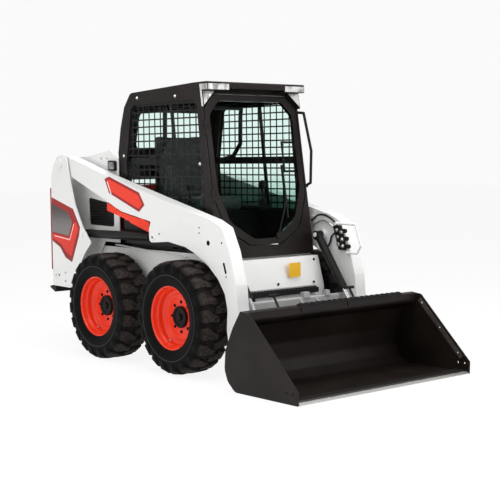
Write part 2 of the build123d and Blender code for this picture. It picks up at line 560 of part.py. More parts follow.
# ---------------------------------------------------------------- front door
door = extrude(FRONT_FACE * outline(door_rows(0.0)), -DOOR_DEPTH)
door -= extrude(FRONT_FACE.offset(5.0) * outline(door_rows(-DOOR_RAIL)), -DOOR_DEPTH - 10.0)
for up in HINGES_UP:
    door += upright_rod(HINGE_Y, up + 1.0, up + KNUCKLE, HINGE_OUT, KNUCKLE_RADIUS)
    door += face_block(HINGE_Y, -DOOR_HALF + 25.0, up + 1.0, up + KNUCKLE, 0.5, HINGE_OUT - 3.0)
    door += face_block(-DOOR_HALF + 1.0, -DOOR_HALF + 25.0, up + 1.0, up + KNUCKLE, -3.0, 4.0)
    door -= upright_rod(HINGE_Y, up - 5.0, up + KNUCKLE - 5.0, HINGE_OUT, DOOR_PIN_RADIUS)
save("door_frame", door)
door_glass = extrude(FRONT_FACE.offset(-8.0) * outline(door_rows(-DOOR_RAIL)), -GLASS)
save("door_glass", door_glass)

# Inside the door a D handle on the free rail; outside it the wiper's arm and blade
PULL_Y = 290.0
PULL_UP = (600.0, 810.0)
PULL_RADIUS = 7.0
PULL_OUT = -DOOR_DEPTH - 22.0
pull_end = DOOR_HALF - DOOR_RAIL / 2
fittings = upright_rod(PULL_Y, PULL_UP[0] - PULL_RADIUS, PULL_UP[1] + PULL_RADIUS, PULL_OUT, PULL_RADIUS)
for up in PULL_UP:
    fittings += face_block(PULL_Y, pull_end, up - PULL_RADIUS, up + PULL_RADIUS, PULL_OUT - PULL_RADIUS, PULL_OUT + PULL_RADIUS)
    fittings += face_block(pull_end - 12.0, pull_end, up - PULL_RADIUS, up + PULL_RADIUS, PULL_OUT, -DOOR_DEPTH)
WIPER = [(120.0, 150.0), (225.0, 385.0), (225.0, 640.0)]      # across and up the door
wiper_out = (4.0, 12.0)
wiper = face_block(WIPER[0][0] - 22.0, WIPER[0][0] + 22.0, WIPER[0][1] - 30.0, WIPER[0][1] + 10.0, 0.0, wiper_out[1])
reach = hypot(WIPER[1][0] - WIPER[0][0], WIPER[1][1] - WIPER[0][1])
swing = degrees(atan2(WIPER[0][0] - WIPER[1][0], WIPER[1][1] - WIPER[0][1]))
middle = ((WIPER[0][0] + WIPER[1][0]) / 2, (WIPER[0][1] + WIPER[1][1]) / 2, sum(wiper_out) / 2)
wiper += FRONT_FACE.location * Pos(*middle) * Rot(0, 0, swing) * Box(9.0, reach, wiper_out[1] - wiper_out[0])
wiper += face_block(WIPER[1][0] - 6.0, WIPER[1][0] + 6.0, WIPER[1][1] - 120.0, WIPER[2][1], -7.0, wiper_out[1] - 2.0)
save("door_fittings", fittings, wiper)

# ---------------------------------------------------------------- tailgate
tailgate = cross_plate([
    (-SIDE_PANEL_Y - 90.0, 520.0, 20), (-SIDE_PANEL_Y - 90.0, 1240.0, 60),
    (SIDE_PANEL_Y + 90.0, 1240.0, 60), (SIDE_PANEL_Y + 90.0, 520.0, 20),
], UPRIGHT_REAR_X - 48.0, UPRIGHT_REAR_X - 8.0)
for hinge_z in GATE_HINGES_Z:
    knuckle_z = hinge_z + GATE_KNUCKLE * 1.5 + 1.0
    tailgate += Pos(GATE_HINGE_X, GATE_HINGE_Y, knuckle_z) * Cylinder(16.0, GATE_KNUCKLE)
    tailgate += block(GATE_HINGE_X - 16.0, GATE_HINGE_X - 2.0, SIDE_PANEL_Y + 70.0, GATE_HINGE_Y,
                      knuckle_z - GATE_KNUCKLE / 2, knuckle_z + GATE_KNUCKLE / 2)
    tailgate -= Pos(GATE_HINGE_X, GATE_HINGE_Y, knuckle_z) * Cylinder(GATE_PIN_RADIUS, GATE_KNUCKLE + 2.0)
save("tailgate", tailgate)

tail_lamp = cross_plate([
    (SIDE_PANEL_Y - 30.0, 1110.0, 12), (SIDE_PANEL_Y - 30.0, 1170.0, 12), (SIDE_PANEL_Y + 60.0, 1170.0, 12),
    (SIDE_PANEL_Y + 60.0, 1110.0, 12),
], UPRIGHT_REAR_X - 56.0, UPRIGHT_REAR_X - 48.0)
save("tail_lamps", *both_sides(tail_lamp))

# ---------------------------------------------------------------- seat bar
bar_path = [                # raised, from the pivot up to the bar over the operator's head
    (BAR_PIVOT_X, BAR_PIVOT_Z), (BAR_PIVOT_X + 150.0, BAR_PIVOT_Z + 30.0), (BAR_PIVOT_X + 235.0, BAR_PIVOT_Z + 120.0),
    (BAR_PIVOT_X + 240.0, BAR_PIVOT_Z + 320.0), (BAR_PIVOT_X + 250.0, BAR_PIVOT_Z + 395.0),
]
seat_bar = cross_bar(bar_path[-1][0], bar_path[-1][1], BAR_RADIUS + 8.0, -BAR_Y, BAR_Y)
for side in (-1, 1):
    seat_bar += cross_bar(BAR_PIVOT_X, BAR_PIVOT_Z, BAR_RADIUS, side * (BAR_Y - 16.0), side * (BODY_HALF - CAB_WALL - 0.5))
    seat_bar += cross_bar(BAR_PIVOT_X, BAR_PIVOT_Z, PIN_RADIUS - 6.0 - RUNNING, side * BAR_Y, side * (BODY_HALF - CAB_WALL + RAIL_DEPTH - 1.0))
    for start, end in zip(bar_path, bar_path[1:]):
        seat_bar += link_bar(start, end, BAR_RADIUS, side * BAR_Y)
        seat_bar += Pos(end[0], side * BAR_Y, end[1]) * Sphere(BAR_RADIUS)
save("seat_bar", seat_bar)

# ---------------------------------------------------------------- lift arms
ARM_SIDE = [
    (PIVOT_X - 64.0, PIVOT_Z + 50.0, 55), (PIVOT_X + 57.0, PIVOT_Z + 57.0, 70), (-742.0, 1339.0, 0),
    (ELBOW_X - 113.0, ELBOW_Z + 46.0, 60), (ELBOW_X, ELBOW_Z, 25), (ELBOW_X + 77.0, ELBOW_Z - 152.0, 0),
    (HINGE_X - 5.0, HINGE_Z + 434.0, 100), (HINGE_X + 6.0, HINGE_Z + 300.0, 60), (HINGE_X + 50.0, HINGE_Z + 60.0, 30),
    (HINGE_X + 50.0, HINGE_Z - 50.0, 48), (HINGE_X - 62.0, HINGE_Z - 50.0, 48), (HINGE_X - 92.0, HINGE_Z + 60.0, 60),
    (HINGE_X - 106.0, HINGE_Z + 137.0, 60), (HINGE_X - 97.0, HINGE_Z + 269.0, 60),
    (HINGE_X - 122.0, HINGE_Z + 372.0, 60), (HINGE_X - 190.0, HINGE_Z + 463.0, 60),
    (HINGE_X - 302.0, HINGE_Z + 553.0, 60), (HINGE_X - 446.0, HINGE_Z + 625.0, 60),
    (HINGE_X - 543.0, HINGE_Z + 658.0, 60), (LIFT_EYE_X + 190.0, LIFT_EYE_Z - 20.0, 60),
    (LIFT_EYE_X + 60.0, LIFT_EYE_Z - 30.0, 20), (LIFT_EYE_X - 36.0, LIFT_EYE_Z - 36.0, 34),
    (LIFT_EYE_X - 36.0, LIFT_EYE_Z + 60.0, 20), (LIFT_EYE_X - 12.0, LIFT_EYE_Z + 112.0, 12),
    (-533.0, 1078.0, 0), (-988.0, 1248.0, 0), (PIVOT_X + 98.0, PIVOT_Z - 90.0, 60), (PIVOT_X - 64.0, PIVOT_Z - 60.0, 55),
]
arm = side_plate(ARM_SIDE, ARM_INNER_Y, ARM_OUTER_Y)
arm -= cross_bar(PIVOT_X, PIVOT_Z, PIVOT_PIN_RADIUS, ARM_INNER_Y - 5.0, ARM_OUTER_Y + 5.0)
# the bottom of the box is open over the rod's eye
arm -= block(LIFT_EYE_X - 60.0, LIFT_EYE_X + 95.0, ARM_INNER_Y + 10.0, ARM_OUTER_Y - 10.0,
             LIFT_EYE_Z - 60.0, LIFT_EYE_Z + 60.0)
arm -= cross_bar(HINGE_X, HINGE_Z, PIN_RADIUS + 4.0, ARM_INNER_Y - 5.0, ARM_OUTER_Y + 5.0)
tilt_boss = cross_bar(TILT_BASE_X, TILT_BASE_Z, 34.0, TILT_Y + 32.0, ARM_INNER_Y)
tilt_boss += cross_bar(TILT_BASE_X, TILT_BASE_Z, PIN_RADIUS - RUNNING, TILT_Y - 34.0, ARM_INNER_Y)
arm += tilt_boss
arm += cross_bar(LIFT_EYE_X + 6.0, LIFT_EYE_Z + 2.0, 24.0, ARM_OUTER_Y - 9.0, ARM_OUTER_Y + 4.0)
ARM_HOLES = [               # blind holes in the outer plate, (x, z, radius)
    (LIFT_EYE_X + 6.0, LIFT_EYE_Z + 2.0, 9.0), (479.0, 897.0, 17.0), (620.0, 904.0, 7.0), (382.0, 995.0, 6.0),
    (381.0, 959.0, 6.0), (-72.0, 935.0, 7.0), (663.0, 685.0, 6.0),
]
HOLE_DEPTH = 9.0
for x, z, radius in ARM_HOLES:
    arm -= cross_bar(x, z, radius, ARM_OUTER_Y - HOLE_DEPTH, ARM_OUTER_Y + 6.0)
arm -= side_plate([
    (629.0, 774.0, 9), (647.0, 780.0, 9), (671.0, 708.0, 9), (653.0, 702.0, 9),
], ARM_OUTER_Y - HOLE_DEPTH, ARM_OUTER_Y + 6.0)
save("lift_arm_left", arm)
save("lift_arm_right", mirror(arm, about=Plane.XZ))

# The strut that props the raised arms is stored under the right arm: a channel of two cheeks
# and a web, hung from the arm by two tabs.
STRUT = [                   # one cheek, (x, z, corner radius)
    (-722.0, 1138.0, 0), (-533.0, 1070.0, 0), (-198.0, 1012.0, 0), (-198.0, 941.0, 0), (-420.0, 999.0, 0),
    (-446.0, 1015.0, 0), (-476.0, 1017.0, 0), (-506.0, 1030.0, 0), (-724.0, 1080.0, 0),
]
STRUT_WALL = 6.0
strut_inner = ARM_INNER_Y + 2.0
strut_outer = ARM_OUTER_Y - 2.0
strut = side_plate(STRUT, strut_inner, strut_inner + STRUT_WALL)
strut += side_plate(STRUT, strut_outer - STRUT_WALL, strut_outer)
strut += side_plate([(x, z, 0) for x, z, corner in STRUT[:3]] + [(x, z - STRUT_WALL, 0) for x, z, corner in reversed(STRUT[:3])],
                    strut_inner, strut_outer)
arm_low_slope = (1248.0 - 1078.0) / (988.0 - 533.0)
tab_rear_z = 1078.0 + (650.0 - 533.0) * arm_low_slope
tab_front_z = 1078.0 + (600.0 - 533.0) * arm_low_slope
strut += side_plate([(-650.0, tab_rear_z, 0), (-600.0, tab_front_z, 0), (-600.0, 1090.0, 0), (-650.0, 1108.0, 0)], 560.0, strut_outer)
belly_slope = (LIFT_EYE_Z + 112.0 - 1078.0) / (LIFT_EYE_X - 12.0 + 533.0)
strut += side_plate([
    (-300.0, 1078.0 + 233.0 * belly_slope, 0), (-250.0, 1078.0 + 283.0 * belly_slope, 0), (-250.0, 1018.0, 0),
    (-300.0, 1026.0, 0),
], 560.0, strut_outer)
save("arm_support", mirror(strut, about=Plane.XZ))

# Couplers for attachments: a block on the left arm's inner face with three capped couplers, and
# a bent tube in front that guards them.
COUPLER_Y = ARM_INNER_Y - 16.0
COUPLER_RADIUS = 15.0
COUPLERS_Z = (935.0, 881.0, 827.0)
coupler_block = side_plate([(570.0, 970.0, 8), (634.0, 970.0, 8), (690.0, 800.0, 8), (626.0, 800.0, 8)], ARM_INNER_Y - 24.0, ARM_INNER_Y)
for z in COUPLERS_Z:
    face_x = 634.0 + (970.0 - z) * 56.0 / 170.0
    coupler_block += Pos(face_x + 15.0, COUPLER_Y, z) * Rot(0, 90, 0) * Cylinder(COUPLER_RADIUS - 3.0, 70.0)
    coupler_block += Pos(face_x + 35.0, COUPLER_Y, z) * Rot(0, 90, 0) * Cylinder(COUPLER_RADIUS, 24.0)
save("coupler_block", coupler_block)
GUARD = [(596.0, 984.0), (790.0, 983.0), (842.0, 836.0), (806.0, 782.0), (704.0, 782.0)]
GUARD_RADIUS = 8.0
guard = bent_tube(GUARD, GUARD_RADIUS, COUPLER_Y)
for x, z in (GUARD[0], GUARD[-1]):
    guard += cross_bar(x, z, GUARD_RADIUS + 3.0, COUPLER_Y - GUARD_RADIUS - 2.0, ARM_INNER_Y)
save("coupler_guard", guard)

crossmember = side_plate([
    (640.0, 415.0, 10), (640.0, 500.0, 10), (690.0, 500.0, 10), (690.0, 415.0, 10),
], -ARM_INNER_Y, ARM_INNER_Y)
for gusset_y in (40.0, 190.0):
    crossmember += side_plate([(690.0, 430.0, 0), (690.0, 490.0, 0), (712.0, 470.0, 0), (712.0, 430.0, 0)], gusset_y - 6.0, gusset_y + 6.0)
save("arm_crossmember", crossmember)

# ---------------------------------------------------------------- lift cylinders
LIFT_LENGTH = hypot(LIFT_EYE_X - LIFT_BASE_X, LIFT_EYE_Z - LIFT_BASE_Z)
LIFT_SLOPE = degrees(atan2(LIFT_EYE_Z - LIFT_BASE_Z, LIFT_EYE_X - LIFT_BASE_X))


def cylinder_pair(base_x, base_z, length, slope, y_middle, barrel_radius, rod_radius, eye, gap, rod_start):
    """Barrel and rod between two pins, made lying along +X and then turned about the base pin."""
    barrel_end = length - gap
    barrel = Pos(barrel_end / 2, 0, 0) * Rot(0, 90, 0) * Cylinder(barrel_radius, barrel_end - 40.0)
    barrel += Rot(90, 0, 0) * Cylinder(eye, 2 * barrel_radius)
    barrel += Pos(15.0, 0, 0) * Box(30.0, 2 * barrel_radius - 8.0, 2 * barrel_radius - 8.0)
    barrel -= Rot(90, 0, 0) * Cylinder(PIN_RADIUS, 4 * barrel_radius)
    bore = Pos(length / 2 + 30.0, 0, 0) * Rot(0, 90, 0) * Cylinder(rod_radius + RUNNING, length)
    barrel -= bore
    rod = Pos((rod_start + length) / 2, 0, 0) * Rot(0, 90, 0) * Cylinder(rod_radius, length - rod_start)
    rod += Pos(length, 0, 0) * Rot(90, 0, 0) * Cylinder(eye, 2 * barrel_radius)
    place = Pos(base_x, y_middle, base_z) * Rot(0, -slope, 0)
    return place * barrel, place * rod


lift_barrel, lift_rod = cylinder_pair(
    LIFT_BASE_X, LIFT_BASE_Z, LIFT_LENGTH, LIFT_SLOPE, ARM_MID_Y, LIFT_BORE_RADIUS, LIFT_ROD_RADIUS, 32.0, 60.0, 70.0)
save("lift_barrels", *both_sides(lift_barrel))
save("lift_rods", *both_sides(lift_rod))

# ---------------------------------------------------------------- tilt cylinders
TILT_LENGTH = hypot(TILT_EYE_X - TILT_BASE_X, TILT_EYE_Z - TILT_BASE_Z)
TILT_SLOPE = degrees(atan2(TILT_EYE_Z - TILT_BASE_Z, TILT_EYE_X - TILT_BASE_X))
tilt_barrel, tilt_rod = cylinder_pair(
    TILT_BASE_X, TILT_BASE_Z, TILT_LENGTH, TILT_SLOPE, TILT_Y, TILT_BORE_RADIUS, TILT_ROD_RADIUS, 28.0, 165.0, 115.0)
save("tilt_barrels", *both_sides(tilt_barrel))
save("tilt_rods", *both_sides(tilt_rod))

# ---------------------------------------------------------------- quick attach and bucket
BACK_LOW = (HINGE_X + 107.0, HINGE_Z - 68.0)
BACK_MIDDLE = (HINGE_X + 118.0, HINGE_Z + 56.0)
BACK_HIGH = (HINGE_X + 192.0, HINGE_Z + 203.0)
BUCKET_BACK = [             # outside of the bucket, from the floor round to the top rail, (x, z, radius)
    (978.0, 0.0, 60), (907.0, 60.0, 60), (*BACK_LOW, 80), (*BACK_MIDDLE, 80), (*BACK_HIGH, 0),
    (1036.0, 512.0, 0),
]
side_rows = [(BUCKET_EDGE_X, 0.0, 0), (BUCKET_EDGE_X + 3.0, 81.0, 0), (1124.0, 502.0, 20)]
side_rows += [(x, z, r) for x, z, r in reversed(BUCKET_BACK)]
bucket = side_plate(side_rows, -BUCKET_HALF, BUCKET_HALF)
wall = BUCKET_WALL
inside_rows = [
    (BUCKET_EDGE_X + 60.0, wall, 0), (BUCKET_EDGE_X + 60.0, 700.0, 0), (1060.0, 700.0, 0),
    (1124.0 - 35.0, 455.0, 30), (1036.0 + 20.0, 430.0, 30), (BACK_HIGH[0] + wall, BACK_HIGH[1] - wall / 2, 0),
    (BACK_MIDDLE[0] + wall, BACK_MIDDLE[1], 72), (BACK_LOW[0] + wall, BACK_LOW[1] + wall / 2, 72), (907.0 + wall, 60.0 + wall, 52), (978.0, wall, 52),
]
bucket -= side_plate(inside_rows, -BUCKET_HALF + wall + 4.0, BUCKET_HALF - wall - 4.0)
bucket -= block(BUCKET_EDGE_X - 115.0, BUCKET_EDGE_X + 60.0, -BUCKET_HALF + wall + 4.0, BUCKET_HALF - wall - 4.0,
                -1.0, wall + 1.0)
for hole_x in CUTTER_HOLES_X:
    bucket -= cross_bar(hole_x, CUTTER_HOLES_Z, CUTTER_HOLE_RADIUS, -BUCKET_HALF - 5.0, BUCKET_HALF + 5.0)
save("bucket_shell", bucket)

ATTACH_WALL = 17.0
attach_foot_x = BACK_LOW[0] + 2.0
attach_foot_z = BACK_LOW[1] + 22.0
attach = side_plate([
    (attach_foot_x - SEAT, attach_foot_z, 0), (BACK_MIDDLE[0] - SEAT, BACK_MIDDLE[1], 0),
    (BACK_HIGH[0] - SEAT, BACK_HIGH[1], 0),
    (BACK_HIGH[0] - ATTACH_WALL, BACK_HIGH[1] + 8.0, 0), (BACK_MIDDLE[0] - ATTACH_WALL, BACK_MIDDLE[1] + 5.0, 0),
    (attach_foot_x - ATTACH_WALL, attach_foot_z, 0),
], -ARM_OUTER_Y - 20.0, ARM_OUTER_Y + 20.0)
EAR = [                     # inner ear, holding the hinge pin and one side of the tilt cylinder's eye
    (HINGE_X - 34.0, HINGE_Z - 34.0, 32), (HINGE_X - 34.0, HINGE_Z + 34.0, 32),
    (TILT_EYE_X - 34.0, TILT_EYE_Z - 20.0, 20), (TILT_EYE_X - 34.0, TILT_EYE_Z + 32.0, 30),
    (TILT_EYE_X + 20.0, TILT_EYE_Z + 32.0, 20), (HINGE_X + 178.0, HINGE_Z + 200.0, 0), (HINGE_X + 110.0, HINGE_Z + 58.0, 0),
    (HINGE_X + 101.0, HINGE_Z - 44.0, 0),
]
OUTER_EAR = [
    (HINGE_X - 34.0, HINGE_Z - 34.0, 32), (HINGE_X - 34.0, HINGE_Z + 34.0, 32), (HINGE_X + 112.0, HINGE_Z + 75.0, 0),
    (HINGE_X + 110.0, HINGE_Z + 58.0, 0), (HINGE_X + 101.0, HINGE_Z - 44.0, 0),
]
TILT_EAR = [
    (TILT_EYE_X - 34.0, TILT_EYE_Z - 34.0, 32), (TILT_EYE_X - 34.0, TILT_EYE_Z + 32.0, 30),
    (TILT_EYE_X + 20.0, TILT_EYE_Z + 32.0, 20), (HINGE_X + 178.0, HINGE_Z + 200.0, 0), (HINGE_X + 122.0, HINGE_Z + 87.0, 0),
]
EAR_GAP = 6.0
EAR_WALL = 14.0
ear_inner = ARM_INNER_Y - EAR_GAP
ear_outer = ARM_OUTER_Y + EAR_GAP
tilt_ear_y = 2 * TILT_Y - ear_inner + EAR_WALL
for pocket in both_sides(block(HINGE_X + 60.0, HINGE_X + 200.0, tilt_ear_y, ear_inner - EAR_WALL,
                               HINGE_Z + 80.0, HINGE_Z + 230.0)):
    attach -= pocket
for side in (-1, 1):
    attach += side_plate(EAR, side * (ear_inner - EAR_WALL), side * ear_inner)
    attach += side_plate(OUTER_EAR, side * ear_outer, side * (ear_outer + EAR_WALL))
    attach += side_plate(TILT_EAR, side * (tilt_ear_y - 12.0), side * tilt_ear_y)
    attach -= cross_bar(HINGE_X, HINGE_Z, PIN_RADIUS + 4.0, side * 400.0, side * 640.0)
save("quick_attach", attach)
hinge_pin = cross_bar(HINGE_X, HINGE_Z, PIN_RADIUS + 4.0 - RUNNING, ear_inner - EAR_WALL, ear_outer + EAR_WALL)
save("hinge_pins", *both_sides(hinge_pin))

edge = side_plate([
    (BUCKET_EDGE_X - 115.0, 0.0, 0), (BUCKET_EDGE_X - 115.0, 22.0, 0), (BUCKET_EDGE_X - 40.0, 22.0, 0),
    (BUCKET_EDGE_X + 3.0, 5.0, 0), (BUCKET_EDGE_X + 3.0, 0.0, 0),
], -BUCKET_HALF + BUCKET_WALL + 4.0, BUCKET_HALF - BUCKET_WALL - 4.0)
save("cutting_edge", edge)

# A step strip with teeth on the top rail and two pads under it
STEP_Y = (-314.0, 636.0)
STEP_PITCH = 50.0
rail_drop = (512.0 - 502.0) / (1124.0 - 1036.0)
step_strip = side_plate([
    (1042.0, 512.0 - 6.0 * rail_drop, 0), (1042.0, 520.0, 0), (1074.0, 517.0, 0), (1074.0, 512.0 - 38.0 * rail_drop, 0),
], *STEP_Y)
for count in range(int((STEP_Y[1] - STEP_Y[0]) / STEP_PITCH)):
    tooth_y = STEP_Y[0] + (count + 0.5) * STEP_PITCH
    step_strip += block(1046.0, 1070.0, tooth_y - 12.0, tooth_y + 12.0, 515.0, 524.0)
PADS_Y = ((-315.0, -78.0), (101.0, 371.0))
face_slope = (1089.0 - 1060.0) / (700.0 - 455.0)
pads = []
for pad_low, pad_high in PADS_Y:
    pads.append(side_plate([
        (1089.0 - (474.0 - 455.0) * face_slope, 474.0, 0), (1089.0 - (502.0 - 455.0) * face_slope, 502.0, 0),
        (1096.0 - (502.0 - 455.0) * face_slope, 502.0, 0), (1096.0 - (474.0 - 455.0) * face_slope, 474.0, 0),
    ], pad_low, pad_high))
save("bucket_step", step_strip, *pads)

# Levers that lock the quick attach, one on each side
LEVER_GRIP_Y = ARM_INNER_Y - 145.0
attach_top = [(BACK_HIGH[0] - SEAT, BACK_HIGH[1]), (BACK_HIGH[0] - ATTACH_WALL, BACK_HIGH[1] + 8.0)]
lever_foot = side_plate([
    (*attach_top[0], 0), (*attach_top[1], 0), (attach_top[1][0], attach_top[1][1] + 14.0, 0),
    (attach_top[0][0] - 4.0, attach_top[0][1] + 16.0, 0),
], LEVER_GRIP_Y - 12.0, LEVER_GRIP_Y + 12.0)
attach_lever = lever_foot + link_bar((945.5, 423.0), (852.0, 560.0), 8.0, LEVER_GRIP_Y)
attach_lever += cross_bar(852.0, 560.0, 10.0, LEVER_GRIP_Y - 42.0, LEVER_GRIP_Y + 42.0)
save("attach_levers", *both_sides(attach_lever))
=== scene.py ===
import math

import bmesh
import bpy
from mathutils import Matrix, Vector


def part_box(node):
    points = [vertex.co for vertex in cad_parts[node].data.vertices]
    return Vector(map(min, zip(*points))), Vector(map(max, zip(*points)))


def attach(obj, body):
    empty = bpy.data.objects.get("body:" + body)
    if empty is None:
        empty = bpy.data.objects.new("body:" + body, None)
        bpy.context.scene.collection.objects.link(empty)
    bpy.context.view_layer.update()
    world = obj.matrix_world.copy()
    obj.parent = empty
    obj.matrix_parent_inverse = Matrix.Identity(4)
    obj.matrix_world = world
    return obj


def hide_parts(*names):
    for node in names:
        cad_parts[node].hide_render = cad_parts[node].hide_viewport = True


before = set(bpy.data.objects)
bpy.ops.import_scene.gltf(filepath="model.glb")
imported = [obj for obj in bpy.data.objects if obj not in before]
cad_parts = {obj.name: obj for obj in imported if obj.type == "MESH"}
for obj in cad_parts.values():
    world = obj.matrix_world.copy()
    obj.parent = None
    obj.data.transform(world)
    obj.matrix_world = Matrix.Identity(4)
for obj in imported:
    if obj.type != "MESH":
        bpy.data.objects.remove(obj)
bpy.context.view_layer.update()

# ------------------------ studio
# A pale floor and a white surround, lit by large soft boxes: one above, one at the front
# and one at the side, as a machine is shown in a catalogue.


def new_object(name, data):
    """An object in the scene, at the origin."""
    made = bpy.data.objects.new(name, data)
    bpy.context.collection.objects.link(made)
    return made


camera = new_object("camera", bpy.data.cameras.new("camera"))
CAMERA_AT = Vector((6.6126, -5.3754, 1.4511))
CAMERA_RIGHT = Vector((0.64361, 0.76528, -0.01074))
CAMERA_UP = Vector((-0.05221, 0.05790, 0.99696))
CAMERA_TURN = Matrix((CAMERA_RIGHT, CAMERA_UP, CAMERA_RIGHT.cross(CAMERA_UP))).transposed()
camera.matrix_world = Matrix.Translation(CAMERA_AT) @ CAMERA_TURN.to_4x4()
camera.data.sensor_width = 36.0
camera.data.lens = 85.27
camera.data.clip_end = 200.0
bpy.context.scene.camera = camera
bpy.context.scene.view_settings.view_transform = "Standard"


class Shade:
    """One socket of a shader tree. Python's operators on it add Math nodes."""

    def __init__(self, tree, socket=None):
        self.tree = tree
        self.socket = socket

    def node(self, kind, settings=None, values=None, output=0):
        """Any node: its settings first, then the values or links of its sockets."""
        made = self.tree.nodes.new(kind)
        for name, value in (settings or {}).items():
            setattr(made, name, value)
        for name, value in (values or {}).items():
            if isinstance(value, Shade):
                self.tree.links.new(value.socket, made.inputs[name])
            else:
                made.inputs[name].default_value = value
        return Shade(self.tree, made.outputs[output])

    def math(self, operation, one, two=0.0):
        return self.node("ShaderNodeMath", {"operation": operation}, {0: one, 1: two})

    def __add__(self, other):
        return self.math("ADD", self, other)

    def __sub__(self, other):
        return self.math("SUBTRACT", self, other)

    def __rsub__(self, other):
        return self.math("SUBTRACT", other, self)

    def __mul__(self, other):
        return self.math("MULTIPLY", self, other)

    __radd__ = __add__
    __rmul__ = __mul__

    def axis(self, name):
        """One coordinate of this vector."""
        return self.node("ShaderNodeSeparateXYZ", None, {0: self}, name)

    def other(self, output):
        """Another output of the node that this value comes from."""
        return Shade(self.tree, self.socket.node.outputs[output])

    def ramp(self, low, high):
        """0 below low, 1 above high, and smooth between them."""
        return self.node("ShaderNodeMapRange", {"interpolation_type": "SMOOTHSTEP"},
                         {"Value": self, "From Min": low, "From Max": high})

    def mix(self, one, two):
        """Colour one where this value is 0, colour two where it is 1."""
        return self.node("ShaderNodeMix", {"data_type": "RGBA"}, {0: self, 6: one, 7: two}, 2)

    def noise(self, scale, detail=3.0, roughness=0.55):
        """Noise on this vector, from 0 to 1."""
        return self.node("ShaderNodeTexNoise", None,
                         {"Vector": self, "Scale": scale, "Detail": detail, "Roughness": roughness})

    def bump(self, strength, distance):
        """A normal from this height."""
        return self.node("ShaderNodeBump", None, {"Height": self, "Strength": strength, "Distance": distance})


def new_finish(name, slot, sockets):
    """A principled material with its plain values set, and its Object coordinates to build on."""
    material = bpy.data.materials.new(name)
    material["slot"] = slot
    material.use_nodes = True
    shader = material.node_tree.nodes["Principled BSDF"]
    for socket, value in sockets.items():
        shader.inputs[socket].default_value = value
    return material, Shade(material.node_tree).node("ShaderNodeTexCoord", output="Object")


def feed(material, sockets):
    """Links what varies over the surface into the material's shader."""
    shader = material.node_tree.nodes["Principled BSDF"]
    for socket, shade in sockets.items():
        material.node_tree.links.new(shade.socket, shader.inputs[socket])


def clean_background(tree, lit, share):
    """The lit shader, lifted towards plain white for the camera, for glass and for gloss."""
    path = tree.node("ShaderNodeLightPath", output="Is Camera Ray")
    seen = path.math("MAXIMUM", path, path.other("Is Glossy Ray"))
    seen = seen.math("MAXIMUM", seen, path.other("Is Transmission Ray"))
    white = tree.node("ShaderNodeEmission", None, {"Color": (1, 1, 1, 1), "Strength": 1.0})
    return tree.node("ShaderNodeMixShader", None, {0: seen * share, 1: lit, 2: white})


floor_paint = bpy.data.materials.new("floor_paint")
floor_paint.use_nodes = True
floor_tree = Shade(floor_paint.node_tree)
floor_lit = floor_tree.node("ShaderNodeBsdfDiffuse", None, {"Color": (0.93, 0.93, 0.93, 1)})
floor_seen = clean_background(floor_tree, floor_lit, 0.88)
floor_paint.node_tree.links.new(floor_seen.socket, floor_paint.node_tree.nodes["Material Output"].inputs[0])
FLOOR_HALF = 40.0
floor_mesh = bpy.data.meshes.new("floor")
floor_mesh.from_pydata(
    [(across * FLOOR_HALF, along * FLOOR_HALF, 0) for across, along in ((-1, -1), (1, -1), (1, 1), (-1, 1))],
    [], [(0, 1, 2, 3)])
floor_mesh.materials.append(floor_paint)
floor = new_object("floor", floor_mesh)

world = bpy.data.worlds.new("surround")
bpy.context.scene.world = world
world.use_nodes = True
background = world.node_tree.nodes["Background"]
world_path = Shade(world.node_tree).node("ShaderNodeLightPath", output="Is Camera Ray")
world_seen = world_path.math("MAXIMUM", world_path, world_path.other("Is Transmission Ray"))
world_level = world_seen.node(
    "ShaderNodeMapRange", None, {"Value": world_seen, "To Min": 0.55, "To Max": 0.955})
world.node_tree.links.new(world_level.socket, background.inputs["Strength"])
background.inputs["Color"].default_value = (1, 1, 1, 1)


def soft_box(name, at, towards, size, power):
    """A square studio lamp."""
    lamp = new_object(name, bpy.data.lights.new(name, "AREA"))
    lamp.data.size = size
    lamp.data.energy = power
    lamp.location = at
    lamp.rotation_euler = (Vector(towards) - Vector(at)).to_track_quat("-Z", "Y").to_euler()


soft_box("box_above", (0.5, -0.5, 5.5), (0.0, 0.0, 0.5), 4.5, 260.0)
soft_box("box_front", (6.5, 1.5, 4.2), (0.0, 0.0, 0.8), 5.0, 195.0)
soft_box("box_side", (0.0, -6.8, 4.4), (0.0, 0.0, 0.8), 5.5, 130.0)

# ------------------------ main frame
# The welded tub that carries the machine: folded and painted steel plate, closed below and
# open on top. It comes with its axle housings bolted on and the engine set in from the rear.


def white_finish(name):
    """Glossy white machine paint, slowly clouded and a little dusty. Its Normal is fed by the caller."""
    material, at = new_finish(name, "body_white", {
        "Coat Weight": 0.35, "Coat Roughness": 0.08, "Specular IOR Level": 0.45})
    cloud = at.noise(2.2, 4.0)
    clean = cloud.mix((0.74, 0.735, 0.725, 1), (0.80, 0.80, 0.795, 1))
    dust = at.noise(35.0, 6.0, 0.7).ramp(0.55, 0.8) * 0.25
    feed(material, {
        "Base Color": dust.mix(clean, (0.62, 0.59, 0.55, 1)),
        "Roughness": cloud * 0.10 + 0.28,
    })
    return material, at


white_paint, at = white_finish("white_paint")
feed(white_paint, {"Normal": at.noise(420.0, 2.0).bump(0.12, 0.0006)})


